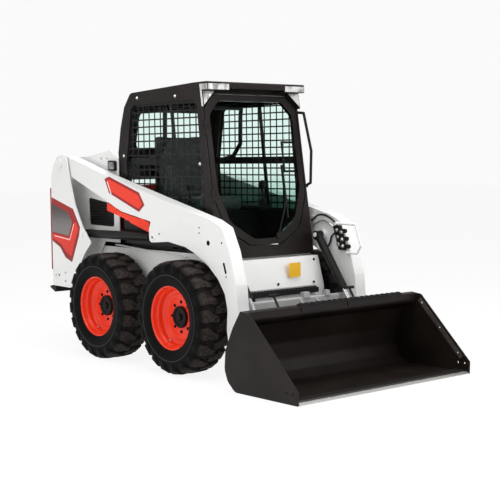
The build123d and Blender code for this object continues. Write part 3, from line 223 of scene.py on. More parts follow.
def dark_steel(name, slot, one, two, gloss, grain):
    """Satin coated steel, with slow changes of tone and a fine orange-peel grain."""
    material, at = new_finish(name, slot, {"Specular IOR Level": 0.19})
    cloud = at.noise(3.5, 4.0, 0.6)
    specks = at.noise(180.0, 2.0, 0.6)
    tone = cloud.ramp(0.3, 0.7).mix(one, two)
    tone = (specks.ramp(0.62, 0.78) * 0.3).mix(tone, (0.045, 0.040, 0.036, 1))
    feed(material, {
        "Base Color": tone,
        "Roughness": cloud * 0.16 + gloss,
        "Normal": at.noise(grain, 2.0).bump(0.16, 0.0006),
    })
    return material


chassis_black = dark_steel(
    "chassis_black", "frame_black", (0.006, 0.0055, 0.0055, 1), (0.012, 0.011, 0.0105, 1), 0.34, 300.0)
MERGE_WITHIN = 0.00002


def paint_nodes(nodes, material):
    """Gives CAD nodes their finish, as they are."""
    for node in nodes:
        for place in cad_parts[node].material_slots:
            place.material = material


def smooth_by_angle(mesh, crease):
    """Smooth faces, with the edges sharper than the crease angle left sharp."""
    mesh.shade_smooth()
    mesh.set_sharp_from_angle(angle=math.radians(crease))


def plain_mesh(name, bm):
    """The mesh of a bmesh that is done with."""
    mesh = bpy.data.meshes.new(name)
    bm.to_mesh(mesh)
    bm.free()
    return mesh


def evaluated_mesh(piece):
    """The plain mesh that an object's modifiers or bevel make."""
    depsgraph = bpy.context.evaluated_depsgraph_get()
    return bpy.data.meshes.new_from_object(piece.evaluated_get(depsgraph), depsgraph=depsgraph)


def add_piece(name, shape, material, body, crease=32.0):
    """A finished piece from a mesh or a bmesh: merged, faces outwards, smooth, painted and on its body."""
    bm = shape
    if not isinstance(shape, bmesh.types.BMesh):
        bm = bmesh.new()
        bm.from_mesh(shape)
    bmesh.ops.remove_doubles(bm, verts=bm.verts, dist=MERGE_WITHIN)
    bmesh.ops.recalc_face_normals(bm, faces=bm.faces)
    mesh = plain_mesh(name, bm)
    smooth_by_angle(mesh, crease)
    mesh.materials.clear()
    mesh.materials.append(material)
    piece = new_object(name, mesh)
    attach(piece, body)
    return piece


def node_shape(node):
    """A CAD node's mesh with its loose triangles joined."""
    bm = bmesh.new()
    bm.from_mesh(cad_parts[node].data)
    bmesh.ops.remove_doubles(bm, verts=bm.verts, dist=MERGE_WITHIN)
    return bm


def rounded(node, width, material, body, corner=28.0):
    """A piece with softened edges, in place of its CAD node."""
    bm = node_shape(node)
    bmesh.ops.dissolve_limit(bm, angle_limit=math.radians(1.0), verts=bm.verts, edges=bm.edges)
    piece = add_piece(node + "_skin", bm, material, body, 30.0)
    bevel = piece.modifiers.new("edges", "BEVEL")
    bevel.width = width
    bevel.segments = 3
    bevel.limit_method = "ANGLE"
    bevel.angle_limit = math.radians(corner)
    bevel.harden_normals = True
    bevel.use_clamp_overlap = True
    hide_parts(node)
    return piece


rounded("main_frame", 0.003, white_paint, "chassis")
paint_nodes(("axle_housings", "engine_block"), chassis_black)

# ------------------------ uprights, side panels and hood
# Two welded towers of painted plate carry the lift arms' pins. The inner panels close the engine
# bay and have vents; the hood lies between them.

rounded("uprights", 0.004, white_paint, "chassis")
rounded("side_panels", 0.0025, white_paint, "chassis")
rounded("engine_hood", 0.003, white_paint, "chassis")
rounded("side_vents", 0.004, chassis_black, "chassis")
rounded("rear_bumper", 0.003, chassis_black, "chassis")


def new_tree(name, inputs):
    """An empty Geometry Nodes tree with named inputs, and those inputs to build on."""
    tree = bpy.data.node_groups.new(name, "GeometryNodeTree")
    for title, kind in [("Shape", "Geometry"), *inputs, ("Material", "Material")]:
        tree.interface.new_socket(title, in_out="INPUT", socket_type="NodeSocket" + kind)
    tree.interface.new_socket("Shape", in_out="OUTPUT", socket_type="NodeSocketGeometry")
    entry = tree.nodes.new("NodeGroupInput")
    return tree, {socket.name: Shade(tree, socket) for socket in entry.outputs if socket.name}


def close_tree(tree, shape, material):
    """Makes the instances real, paints them and leads them out."""
    real = shape.node("GeometryNodeRealizeInstances", None, {0: shape})
    painted = real.node("GeometryNodeSetMaterial", None, {"Geometry": real, "Material": material})
    tree.links.new(painted.socket, tree.nodes.new("NodeGroupOutput").inputs[0])


def grown(tree, mesh, material, **values):
    """The plain mesh that a tree makes of a start mesh, with the tree's inputs given by name."""
    values["Material"] = material
    start = new_object("start", mesh)
    modifier = start.modifiers.new("grow", "NODES")
    modifier.node_group = tree
    for item in tree.interface.items_tree:
        if item.in_out == "INPUT" and item.name in values:
            modifier[item.identifier] = values[item.name]
    made = evaluated_mesh(start)
    bpy.data.objects.remove(start)
    return made


row_tree, row_in = new_tree("row_of", [("Count", "Int"), ("Step", "Vector")])
line = row_in["Shape"].node("GeometryNodeMeshLine", None, {
    "Count": row_in["Count"], "Offset": row_in["Step"]})
placed = line.node("GeometryNodeInstanceOnPoints", None, {"Points": line, "Instance": row_in["Shape"]})
close_tree(row_tree, placed, row_in["Material"])


def add_row(name, mesh, count, step, material, body, crease=32.0):
    """A piece that is one mesh, repeated at equal steps."""
    return add_piece(name, grown(row_tree, mesh, material, Count=count, Step=step), material, body, crease)


def bar_mesh(rows, low, high, axis=1):
    """A plate from a closed (across, up) outline, between two places along an axis."""
    bm = bmesh.new()
    sides = []
    for place in (low, high):
        ring = []
        for across, up in rows:
            point = [across, up]
            point.insert(axis, place)
            ring.append(bm.verts.new(point))
        sides.append(ring)
    bm.faces.new(sides[0])
    bm.faces.new(sides[1])
    for count, (a, b) in enumerate(zip(*sides)):
        bm.faces.new((a, sides[0][count - 1], sides[1][count - 1], b))
    bmesh.ops.recalc_face_normals(bm, faces=bm.faces)
    return plain_mesh("bar", bm)


# the hood's rear slope: a black grille of seven bars over a dark field
GRILLE_SLOPE = 0.1934
GRILLE_STEP = 0.0215
field = bar_mesh([(-1.326, 1.4050), (-1.168, 1.4355), (-1.168, 1.4375), (-1.326, 1.4070)], -0.335, 0.335)
add_piece("hood_grille_field", field, chassis_black, "chassis")
grille_bar = bar_mesh([(-1.320, 1.4035), (-1.308, 1.4060), (-1.308, 1.4135), (-1.316, 1.4125)], -0.330, 0.330)
step = (GRILLE_STEP, 0.0, GRILLE_STEP * GRILLE_SLOPE)
add_row("hood_grille_bars", grille_bar, 7, step, chassis_black, "chassis")

SIDES = ((-1, "right"), (1, "left"))
LOUVRES = 9
LOUVRE_PITCH = 0.0215
for side, word in SIDES:
    # one slat leans out over the next: x along the panel, its section in y and z
    back, front = side * 0.4478, side * 0.4535
    slat = bar_mesh([(back, 0.9650), (back, 0.9675), (front, 0.9610), (front, 0.9585)], -1.158, -0.842, 0)
    add_row("vent_slats_" + word, slat, LOUVRES, (0.0, 0.0, LOUVRE_PITCH), chassis_black, "chassis")

bolt_tree, bolt_in = new_tree("bolts_at", [("Sides", "Int"), ("Dome", "Float")])
washer = bolt_in["Sides"].node("GeometryNodeMeshCylinder", None, {
    "Vertices": 20, "Radius": 1.35, "Depth": 0.24})
head = washer.node("GeometryNodeMeshCone", None, {
    "Vertices": bolt_in["Sides"], "Radius Top": bolt_in["Dome"], "Radius Bottom": 1.0, "Depth": 0.9})
head = head.node("GeometryNodeTransform", None, {"Geometry": head, "Translation": (0.0, 0.0, 0.1)})
both = head.node("GeometryNodeJoinGeometry")
for part in (head, washer):
    bolt_tree.links.new(part.socket, both.socket.node.inputs[0])
facing = both.node("GeometryNodeInputNamedAttribute", {"data_type": "FLOAT_VECTOR"}, {"Name": "facing"})
across = both.node("GeometryNodeInputNamedAttribute", {"data_type": "FLOAT"}, {"Name": "width"})
turn = both.node("FunctionNodeAlignRotationToVector", {"axis": "Z"}, {"Vector": facing})
placed = both.node("GeometryNodeInstanceOnPoints", None, {
    "Points": bolt_in["Shape"], "Instance": both, "Rotation": turn, "Scale": across})
close_tree(bolt_tree, placed, bolt_in["Material"])


def bolt_heads(marks, material, sides, dome):
    """The plain mesh of bolt heads from rows of (place, direction they face, half width)."""
    places, faces, widths = zip(*marks)
    mesh = bpy.data.meshes.new("marks")
    mesh.from_pydata(places, [], [])
    mesh.attributes.new("facing", "FLOAT_VECTOR", "POINT").data.foreach_set(
        "vector", [number for face in faces for number in face])
    mesh.attributes.new("width", "FLOAT", "POINT").data.foreach_set("value", widths)
    return grown(bolt_tree, mesh, material, Sides=sides, Dome=dome)


def bolts(name, marks, material, body, sides=6, dome=0.92):
    """A piece of bolt heads: hexagons, or round ones with more sides and a narrower top."""
    return add_piece(name, bolt_heads(marks, material, sides, dome), material, body, 30.0)


ROUND_HEAD = {"sides": 24, "dome": 0.6}
FILM_SINK = 0.0004      # how far a film's back lies below its face, so that no gap shows


def film(name, rows, surface, side, proud, material, body):
    """A thin printed film on a face that looks along Y, from its (x, z) outline."""
    sheet = bar_mesh(rows, side * (surface - FILM_SINK), side * (surface + proud))
    return add_piece(name, sheet, material, body)


def inset(rows, gap):
    """The outline moved inwards by a gap."""
    area = sum(a[0] * b[1] - b[0] * a[1] for a, b in zip(rows, rows[1:] + rows[:1]))
    turn = 1.0 if area > 0 else -1.0
    moved = []
    for before, here, after in zip(rows[-1:] + rows[:-1], rows, rows[1:] + rows[:1]):
        one = Vector((here[0] - before[0], here[1] - before[1])).normalized()
        two = Vector((after[0] - here[0], after[1] - here[1])).normalized()
        inward = Vector((-one.y - two.y, one.x + two.x)).normalized() * turn
        reach = gap / max(0.35, abs(inward.dot(Vector((-one.y, one.x)))))
        moved.append((here[0] + inward.x * reach, here[1] + inward.y * reach))
    return moved


def rounded_box(low, high, radius, steps=5):
    """Corner points of a rounded rectangle."""
    rows = []
    left, right = low[0] + radius, high[0] - radius
    bottom, top = low[1] + radius, high[1] - radius
    for turn, (across, up) in enumerate(((right, top), (left, top), (left, bottom), (right, bottom))):
        for count in range(steps + 1):
            angle = math.radians(90.0 * turn + 90.0 * count / steps)
            rows.append((across + radius * math.cos(angle), up + radius * math.sin(angle)))
    return rows


def film_finish(name, one, two, low=0.6, high=1.3):
    """Printed vinyl film: one ink fades into the other with height, under a clear layer."""
    material, at = new_finish(name, "tailgate_red", {
        "Coat Weight": 0.12, "Coat Roughness": 0.1, "Specular IOR Level": 0.25})
    grain = at.noise(160.0, 3.0)
    feed(material, {
        "Base Color": (at.axis("Z").ramp(low, high) * 0.9 + grain * 0.1).mix(one, two),
        "Roughness": grain * 0.12 + 0.3,
        "Normal": at.noise(500.0, 2.0).bump(0.08, 0.0003),
    })
    return material


crimson_film = film_finish("crimson_film", (0.24, 0.006, 0.007, 1), (0.33, 0.011, 0.010, 1))
orange_film = film_finish("orange_film", (0.62, 0.022, 0.010, 1), (0.80, 0.042, 0.015, 1), 0.7, 1.1)
grey_film = film_finish("grey_film", (0.20, 0.185, 0.18, 1), (0.055, 0.045, 0.045, 1), 0.92, 1.09)
light_film = film_finish("light_film", (0.80, 0.66, 0.62, 1), (0.90, 0.84, 0.82, 1))

UPRIGHT_Y = 0.605
REAR_FLASH = [(-1.474, 1.165), (-1.160, 1.081), (-1.066, 0.945), (-1.082, 0.880), (-1.190, 0.672),
              (-1.283, 0.703), (-1.360, 0.778), (-1.474, 0.825)]
REAR_BAND = [(-1.474, 0.882), (-1.222, 0.858), (-1.166, 0.962), (-1.128, 0.985), (-1.092, 0.935),
             (-1.158, 0.805), (-1.196, 0.716), (-1.270, 0.745), (-1.346, 0.806), (-1.474, 0.848)]
REAR_GREY = [(-1.474, 1.120), (-1.232, 1.048), (-1.178, 0.978), (-1.232, 0.872), (-1.474, 0.896)]
REAR_LINE = [(-1.440, 0.862), (-1.214, 0.840), (-1.150, 0.965), (-1.156, 0.969), (-1.218, 0.846),
             (-1.440, 0.868)]
for side, word in SIDES:
    film("rear_flash_" + word, REAR_FLASH, UPRIGHT_Y, side, 0.0003, crimson_film, "chassis")
    film("rear_band_" + word, REAR_BAND, UPRIGHT_Y, side, 0.0006, orange_film, "chassis")
    film("rear_field_" + word, REAR_GREY, UPRIGHT_Y, side, 0.0006, grey_film, "chassis")
    film("rear_line_" + word, REAR_LINE, UPRIGHT_Y, side, 0.0009, light_film, "chassis")
pin_steel, at = new_finish("pin_steel", "edge_steel", {"Metallic": 0.85, "Specular IOR Level": 0.5})
feed(pin_steel, {
    "Base Color": at.noise(60.0, 4.0).mix((0.42, 0.41, 0.39, 1), (0.62, 0.61, 0.59, 1)),
    "Roughness": at.noise(90.0, 3.0) * 0.25 + 0.25,
})


def slim_pins(piece, axes, less=0.0009):
    """Takes a little off the radius of pins along Y, so that they turn freely in faceted bores."""
    for vert in piece.data.vertices:
        x, z = min(axes, key=lambda axis: math.hypot(vert.co.x - axis[0], vert.co.z - axis[1]))
        reach = math.hypot(vert.co.x - x, vert.co.z - z)
        if reach > less:
            vert.co.x += (x - vert.co.x) * less / reach
            vert.co.z += (z - vert.co.z) * less / reach


ARM_PIVOT = (-1.337, 1.427)
LIFT_BASE = (-1.041, 0.895)
slim_pins(rounded("frame_pins", 0.002, white_paint, "chassis"), [ARM_PIVOT, LIFT_BASE])
PANEL_Y = 0.4548
UPRIGHT_BOLTS = [
    (-1.290, UPRIGHT_Y, 0.520, 0.0075), (-1.290, UPRIGHT_Y, 0.585, 0.006), (-1.430, UPRIGHT_Y, 0.560, 0.006),
    (-0.905, PANEL_Y, 1.462, 0.006), (-0.985, PANEL_Y, 1.462, 0.006), (-1.200, PANEL_Y, 0.900, 0.007),
    (-0.800, PANEL_Y, 0.900, 0.007),
]
bolts("upright_bolts", [((x, side * y, z), (0, side, 0), width) for side, word in SIDES
                        for x, y, z, width in UPRIGHT_BOLTS], pin_steel, "chassis")

tailgate_red = dark_steel(
    "tailgate_red", "tailgate_red", (0.22, 0.012, 0.012, 1), (0.30, 0.02, 0.018, 1), 0.25, 300.0)
rounded("tailgate", 0.006, tailgate_red, "tailgate")
GATE_FACE_X = -1.5235
rows = [(-1.5285, 0.700), (-1.5285, 0.7025), (GATE_FACE_X, 0.7100), (GATE_FACE_X, 0.6960)]
slat = bar_mesh(rows, -0.430, 0.430)
add_row("tailgate_louvres", slat, 14, (0.0, 0.0, 0.026), chassis_black, "tailgate")
bolts("tailgate_bolts", [((GATE_FACE_X, y, z), (-1, 0, 0), 0.008) for y in (-0.500, 0.500)
                         for z in (0.580, 0.860, 1.205)], pin_steel, "tailgate", **ROUND_HEAD)
latch = bar_mesh(rounded_box((0.452, 0.990), (0.492, 1.085), 0.010), -1.5345, -1.5225, 0)
add_piece("tailgate_latch", latch, chassis_black, "tailgate")
trim = bar_mesh(rounded_box((-1.4995, -0.6035), (-1.4780, -0.5400), 0.004), 0.600, 1.235, 2)
add_piece("tailgate_edge", trim, tailgate_red, "tailgate")
tail_lens, at = new_finish("tail_lens", "tail_lens", {"Coat Weight": 1.0, "Coat Roughness": 0.04})
ribs = at.node("ShaderNodeTexWave", {"bands_direction": "Y"}, {"Vector": at, "Scale": 32.0})
feed(tail_lens, {
    "Base Color": at.noise(30.0).mix((0.30, 0.006, 0.006, 1), (0.48, 0.012, 0.010, 1)),
    "Roughness": at.noise(60.0) * 0.1 + 0.12,
    "Normal": ribs.bump(0.4, 0.001),
})
rounded("tail_lamps", 0.003, tail_lens, "tailgate")

# ------------------------ wheels
# A pressed steel rim with a deep dish, eight nuts round a black hub, and a tubeless tyre with
# hooked bar lugs, moulded in one piece of rubber.

TYRE_RADIUS = 0.3865
AXLE_Z = TYRE_RADIUS
WHEEL_Y = 0.605
FRONT_AXLE_X = 0.221
REAR_AXLE_X = -0.681
WHEEL_PLACES = {
    "front_right": (FRONT_AXLE_X, -1), "front_left": (FRONT_AXLE_X, 1),
    "rear_right": (REAR_AXLE_X, -1), "rear_left": (REAR_AXLE_X, 1),
}
LUGS = 20
LUG_PITCH = math.tau / LUGS

rubber, at = new_finish("tyre_rubber", "tyre", {"Specular IOR Level": 0.05})
reach = at.node("ShaderNodeAttribute", {"attribute_name": "reach"}, None, "Fac")
scuff = at.noise(55.0, 6.0, 0.75)
dust = reach.ramp(0.352, 0.384) * scuff.ramp(0.25, 0.75)
# the moulded rib round the sidewall is painted a lighter grey than the rest of the rubber
rib = reach.ramp(0.2870, 0.2895) * (1 - reach.ramp(0.2930, 0.2955)) * 0.8
tone = (dust * 0.65).mix((0.0045, 0.0042, 0.0042, 1), (0.088, 0.072, 0.064, 1))
feed(rubber, {
    "Base Color": rib.mix(tone, (0.045, 0.045, 0.047, 1)),
    "Roughness": dust * 0.3 + 0.52,
    "Normal": (scuff * reach.ramp(0.33, 0.384)).bump(0.35, 0.0025),
})


def turned(bm, profile, steps, centre, side, closed=True):
    """Revolves (y, radius) rows about an axle along Y, outer side towards the wheel's own side."""
    rings = []
    for count in range(steps):
        angle = math.tau * count / steps
        rings.append([bm.verts.new((
            centre[0] + r * math.sin(angle), centre[1] + side * y, centre[2] + r * math.cos(angle)))
            for y, r in profile])
    rows = len(profile) if closed else len(profile) - 1
    for one, two in zip(rings, rings[1:] + rings[:1]):
        for row in range(rows):
            after = (row + 1) % len(profile)
            bm.faces.new((one[row], two[row], two[after], one[after]))


def smooth_profile(points, steps=6):
    """A Catmull-Rom curve through (y, radius) points."""
    rows = [points[0]] + list(points) + [points[-1]]
    made = []
    for a, b, c, d in zip(rows, rows[1:], rows[2:], rows[3:]):
        for count in range(steps):
            t = count / steps
            made.append(tuple(
                0.5 * (2 * q + (r - p) * t + (2 * p - 5 * q + 4 * r - s) * t * t
                       + (3 * q - p - 3 * r + s) * t ** 3) for p, q, r, s in zip(a, b, c, d)))
    return made + [points[-1]]


SIDEWALL = smooth_profile([
    (0.1035, 0.2065), (0.112, 0.2150), (0.1175, 0.2300), (0.1240, 0.2500), (0.1285, 0.2720), (0.1290, 0.2850),
])
RING = [(0.1292, 0.2885), (0.1300, 0.2900), (0.1300, 0.2935), (0.1288, 0.2950)]
SHOULDER = smooth_profile([
    (0.1278, 0.3000), (0.1262, 0.3150), (0.1225, 0.3360), (0.1120, 0.3540), (0.0900, 0.3640),
    (0.0500, 0.3665), (0.0, 0.3670),
])
BEAD = (0.1035, 0.2063)
# one lug from the middle of the tread to the sidewall, in rows of
# (arc from the flat's middle, top y, top radius, foot y, foot radius, half width)
LUG_PATH = [
    (0.0425, -0.0060, 0.3856, -0.0085, 0.3590, 0.0200), (0.0412, 0.0020, 0.3862, 0.0, 0.3590, 0.0225),
    (0.0370, 0.0200, 0.3864, 0.0200, 0.3590, 0.0245), (0.0300, 0.0380, 0.3863, 0.0380, 0.3590, 0.0270),
    (0.0225, 0.0540, 0.3861, 0.0540, 0.3580, 0.0320), (0.0185, 0.0660, 0.3858, 0.0650, 0.3575, 0.0370),
    (0.0172, 0.0820, 0.3850, 0.0800, 0.3560, 0.0400), (0.0172, 0.1000, 0.3815, 0.0950, 0.3500, 0.0405),
    (0.0172, 0.1130, 0.3735, 0.1030, 0.3450, 0.0400), (0.0172, 0.1220, 0.3610, 0.1100, 0.3380, 0.0385),
    (0.0172, 0.1270, 0.3450, 0.1150, 0.3300, 0.0350), (0.0172, 0.1293, 0.3270, 0.1180, 0.3200, 0.0300),
    (0.0172, 0.1290, 0.3110, 0.1200, 0.3080, 0.0230),
]
# a lug's section, in rows of (half widths across, share of its height)
LUG_SECTION = ((-1.22, 0.0), (-1.04, 0.82), (-0.92, 1.0), (0.92, 1.0), (1.04, 0.82), (1.22, 0.0))
LUG_STAGGER = 0.0575    # arc by which the inner row of lugs trails the outer row

ring_tree, ring_in = new_tree("ring_of", [("Count", "Int"), ("Centre", "Vector")])
line = ring_in["Shape"].node("GeometryNodeMeshLine", None, {
    "Count": ring_in["Count"], "Offset": (0.0, 0.0, 0.0)})
number = line.node("GeometryNodeInputIndex")
pitch = ring_in["Count"].math("DIVIDE", math.tau, ring_in["Count"])
turn = line.node("ShaderNodeCombineXYZ", None, {"Y": number * pitch})
placed = line.node("GeometryNodeInstanceOnPoints", None, {
    "Points": line, "Instance": ring_in["Shape"], "Rotation": turn})
placed = placed.node("GeometryNodeTransform", None, {"Geometry": placed, "Translation": ring_in["Centre"]})
close_tree(ring_tree, placed, ring_in["Material"])


def lug(bm, layer, turn, side, row):
    """One bar lug on a wheel about the origin, at an angle round it."""
    sections = []
    for arc, top_y, top_r, foot_y, foot_r, half in LUG_PATH:
        ring = []
        for across, lift in LUG_SECTION:
            y = foot_y + (top_y - foot_y) * lift
            r = foot_r + (top_r - foot_r) * lift
            s = arc - (LUG_STAGGER if row < 0 else 0.0) + half * across
            angle = turn + s / TYRE_RADIUS
            vert = bm.verts.new((r * math.sin(angle), side * row * y, r * math.cos(angle)))
            vert[layer] = r
            ring.append(vert)
        sections.append(ring)
    for one, two in zip(sections, sections[1:]):
        for count in range(5):
            bm.faces.new((one[count], one[count + 1], two[count + 1], two[count]))
    bm.faces.new(sections[0])
    bm.faces.new(list(reversed(sections[-1])))


for place, (axle_x, side) in WHEEL_PLACES.items():
    centre = (axle_x, side * WHEEL_Y, AXLE_Z)
    bm = bmesh.new()
    layer = bm.verts.layers.float.new("reach")
    half_profile = SIDEWALL + RING + SHOULDER
    profile = half_profile + [(-y, r) for y, r in reversed(half_profile[:-1])]
    profile += [(-BEAD[0], BEAD[1]), BEAD]
    turned(bm, profile, 120, centre, side)
    for vert in bm.verts:
        vert[layer] = math.hypot(vert.co.x - centre[0], vert.co.z - centre[2])
    pair = bmesh.new()
    pair_layer = pair.verts.layers.float.new("reach")
    for row in (-1, 1):
        lug(pair, pair_layer, LUG_PITCH * 0.5, side, row)
    bmesh.ops.recalc_face_normals(pair, faces=pair.faces)
    bm.from_mesh(grown(ring_tree, plain_mesh("lugs", pair), rubber, Count=LUGS, Centre=centre))
    tyre = add_piece("tread_" + place, bm, rubber, "wheel_" + place, 38.0)
    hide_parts("tyre_" + place)

rim_paint, at = new_finish("rim_paint", "rim_orange", {
    "Coat Weight": 0.15, "Coat Roughness": 0.12, "Specular IOR Level": 0.25})
feed(rim_paint, {
    "Base Color": at.noise(4.0, 3.0).mix((0.76, 0.032, 0.009, 1), (0.84, 0.046, 0.014, 1)),
    "Roughness": at.noise(40.0, 4.0) * 0.12 + 0.26,
    "Normal": at.noise(260.0, 2.0).bump(0.1, 0.0006),
})
hub_black = dark_steel(
    "hub_black", "frame_black", (0.0025, 0.0025, 0.0025, 1), (0.005, 0.005, 0.005, 1), 0.45, 200.0)
# outer face of the rim from the lip, over the bead seat and the drop centre to the disc
RIM_FACE = smooth_profile([
    (0.1060, 0.2210), (0.1110, 0.2228), (0.1140, 0.2210), (0.1120, 0.2150), (0.1060, 0.2075),
    (0.0950, 0.2045),
], 5) + smooth_profile([
    (0.0900, 0.2030), (0.0780, 0.1990), (0.0700, 0.1930), (0.0560, 0.1890), (0.0440, 0.1885),
    (0.0360, 0.1840), (0.0300, 0.1730), (0.0270, 0.1640), (0.0190, 0.1560), (0.0160, 0.1450),
    (0.0155, 0.1250), (0.0160, 0.1000),
], 4)
RIM_BACK = [(0.0080, 0.1000), (0.0080, 0.1500), (0.0150, 0.1780), (-0.0200, 0.1850), (-0.0900, 0.1920),
            (-0.1060, 0.2000), (-0.1140, 0.2215), (-0.1060, 0.2215), (-0.1000, 0.2050), (0.0, 0.2045),
            (0.1000, 0.2048)]
RIM_PLATE = [(0.0075, 0.1010), (0.0165, 0.1010), (0.0165, 0.0790)]
HUB_ROWS = [(-0.1350, 0.0299), (-0.0050, 0.0299), (0.0100, 0.0740), (0.0330, 0.0740), (0.0385, 0.0690),
            (0.0385, 0.0560), (0.0320, 0.0520), (0.0320, 0.0270), (0.0440, 0.0240), (0.0440, 0.0100)]
NUTS = 8
NUT_CIRCLE = 0.1015
NUT_Y = 0.0158
VALVE_OUT = 0.050
VALVE_AHEAD = 0.085
VALVE_BELOW = 0.166


def disc_ring(rows, steps, centre, side):
    """A turned part whose first and last rows are closed by flat discs."""
    bm = bmesh.new()
    turned(bm, rows, steps, centre, side, False)
    for y, r in (rows[0], rows[-1]):
        ring = [v for v in bm.verts if abs(math.hypot(v.co.x - centre[0], v.co.z - centre[2]) - r) < 1e-5
                and abs(v.co.y - (centre[1] + side * y)) < 1e-5]
        ring.sort(key=lambda v: math.atan2(v.co.x - centre[0], v.co.z - centre[2]))
        bm.faces.new(ring)
    return bm


for place, (axle_x, side) in WHEEL_PLACES.items():
    centre = (axle_x, side * WHEEL_Y, AXLE_Z)
    wheel = "wheel_" + place
    bm = bmesh.new()
    turned(bm, RIM_FACE + RIM_BACK, 96, centre, side)
    rim = add_piece("dish_" + place, bm, rim_paint, wheel, 50.0)
    add_piece("plate_" + place, disc_ring(RIM_PLATE, 64, centre, side), rim_paint, wheel, 40.0)
    add_piece("hub_" + place, disc_ring(HUB_ROWS, 64, centre, side), hub_black, wheel, 35.0)
    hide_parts("rim_" + place)
    nut = bolt_heads([((0.0, side * NUT_Y, NUT_CIRCLE), (0.0, side, 0.0), 0.0088)], hub_black, 6, 0.82)
    nuts = grown(ring_tree, nut, hub_black, Count=NUTS, Centre=centre)
    add_piece("nuts_" + place, nuts, hub_black, wheel, 30.0)
    valve_at = (centre[0] + side * VALVE_AHEAD, centre[1] + side * VALVE_OUT, centre[2] - VALVE_BELOW)
    bolts("valve_" + place, [(valve_at, (0.0, side, 0.0), 0.007)], pin_steel, wheel, 12, 0.6)

# ------------------------ cab
# A welded frame of dark powder-coated tube and plate with a leaning front, a roof with a visor,
# two lamps, glazed sides with steel screens, and a glazed door hung at the front.

CAB_TONES = ((0.0085, 0.0062, 0.0058, 1), (0.015, 0.0115, 0.0105, 1))
cab_coat = dark_steel("cab_coat", "cab_black", *CAB_TONES, 0.22, 340.0)
for node in ("cab_sides", "cab_front", "cab_rear"):
    rounded(node, 0.004, cab_coat, "chassis")
roof_coat, at = new_finish("roof_coat", "cab_black", {"Specular IOR Level": 0.19})
along, across = at.axis("X"), at.axis("Y")
across = across.math("ABSOLUTE", across)
cloud = at.noise(3.5, 4.0, 0.6)
# a wide panel is pressed down in the middle of the roof sheet
pressed = (1 - across.ramp(0.30, 0.312)) * along.ramp(-0.545, -0.533) * (1 - along.ramp(0.110, 0.122))
feed(roof_coat, {
    "Base Color": cloud.ramp(0.3, 0.7).mix(*CAB_TONES),
    "Roughness": cloud * 0.16 + 0.28,
    "Normal": (at.noise(340.0, 2.0) * 0.00009 - pressed * 0.005).bump(1.0, 1.0),
})
rounded("cab_roof", 0.004, roof_coat, "chassis")
paint_nodes(("cab_floor", "side_screens", "grab_handle", "door_fittings"), chassis_black)
rounded("door_frame", 0.004, cab_coat, "front_door")

glass, at = new_finish("mint_glass", "glass", {
    "Roughness": 0.0, "Transmission Weight": 1.0, "IOR": 1.05})
# the glass is painted darker green towards its bottom: painted shade of the shaded arms and cab seen through
# it
shade_height = at.axis("Z") + at.noise(3.0, 3.0) * 0.12
feed(glass, {"Base Color": shade_height.ramp(1.08, 1.48).mix((0.42, 0.66, 0.58, 1), (0.88, 0.975, 0.95, 1))})
paint_nodes(("side_glass", "door_glass", "rear_glass"), glass)
lens, at = new_finish("lamp_lens", "lamp_lens", {
    "Base Color": (0.93, 0.94, 0.95, 1), "Metallic": 0.6, "Coat Weight": 1.0, "Coat Roughness": 0.03})
flutes = at.node("ShaderNodeTexWave", {"bands_direction": "Y"}, {
    "Vector": at, "Scale": 9.0, "Distortion": 0.5})
# the lens's colour is a painted reflection: bright and dark patches stand in for the reflector behind the
# clear lens
painted_reflection = at.noise(12.0, 1.0)
feed(lens, {
    "Base Color": painted_reflection.ramp(0.32, 0.58).mix((0.36, 0.35, 0.34, 1), (0.94, 0.94, 0.93, 1)),
    "Roughness": painted_reflection * 0.1 + 0.08,
    "Normal": flutes.bump(0.15, 0.002),
})
# each lamp is a black shell whose front and outer faces are clear lens inside a narrow rim
LENS_RIM = 0.005
LENS_AREA = 0.0008      # the smallest face that is lens
lamps = rounded("headlamps", 0.003, cab_coat, "chassis")
lamps.data.materials.append(lens)
bm = bmesh.new()
bm.from_mesh(lamps.data)
bmesh.ops.remove_doubles(bm, verts=bm.verts, dist=0.0025)
bmesh.ops.dissolve_limit(bm, angle_limit=math.radians(4.0), verts=bm.verts, edges=bm.edges)
open_faces = [face for face in bm.faces if face.calc_area() > LENS_AREA
              and (face.normal.x > 0.6 or face.normal.y * face.calc_center_median().y > 0.2)]
bmesh.ops.inset_individual(bm, faces=open_faces, thickness=LENS_RIM, use_even_offset=True)
for face in open_faces:
    face.material_index = 1
bm.to_mesh(lamps.data)
bm.free()
smooth_by_angle(lamps.data, 30.0)
rounded("work_lamps", 0.004, chassis_black, "chassis")
work_lens, at = new_finish("work_lens", "lamp_lens", {
    "Coat Weight": 1.0, "Coat Roughness": 0.05, "Specular IOR Level": 0.6})
ribs = at.node("ShaderNodeTexWave", {"bands_direction": "X"}, {"Vector": at, "Scale": 30.0})
feed(work_lens, {
    "Base Color": at.noise(25.0).ramp(0.3, 0.7).mix((0.05, 0.05, 0.055, 1), (0.20, 0.20, 0.21, 1)),
    "Roughness": at.noise(60.0) * 0.1 + 0.1,
    "Normal": ribs.bump(0.4, 0.001),
})
WORK_RIM = 0.012
low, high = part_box("work_lamps")
outline = rounded_box((low[0] + WORK_RIM, low[2] + WORK_RIM), (high[0] - WORK_RIM, high[2] - WORK_RIM), 0.010)
for side, word in SIDES:
    film("work_lens_" + word, outline, high[1], side, 0.002, work_lens, "chassis")
bright_bolt, at = new_finish("bright_bolt", "rod_chrome", {"Metallic": 0.9})
feed(bright_bolt, {
    "Base Color": at.noise(80.0).mix((0.70, 0.70, 0.69, 1), (0.86, 0.86, 0.85, 1)),
    "Roughness": at.noise(120.0) * 0.15 + 0.18,
})
CAB_BOLTS = [(-0.520, 1.895), (-0.058, 1.888), (-0.701, 1.478), (0.215, 1.416)]
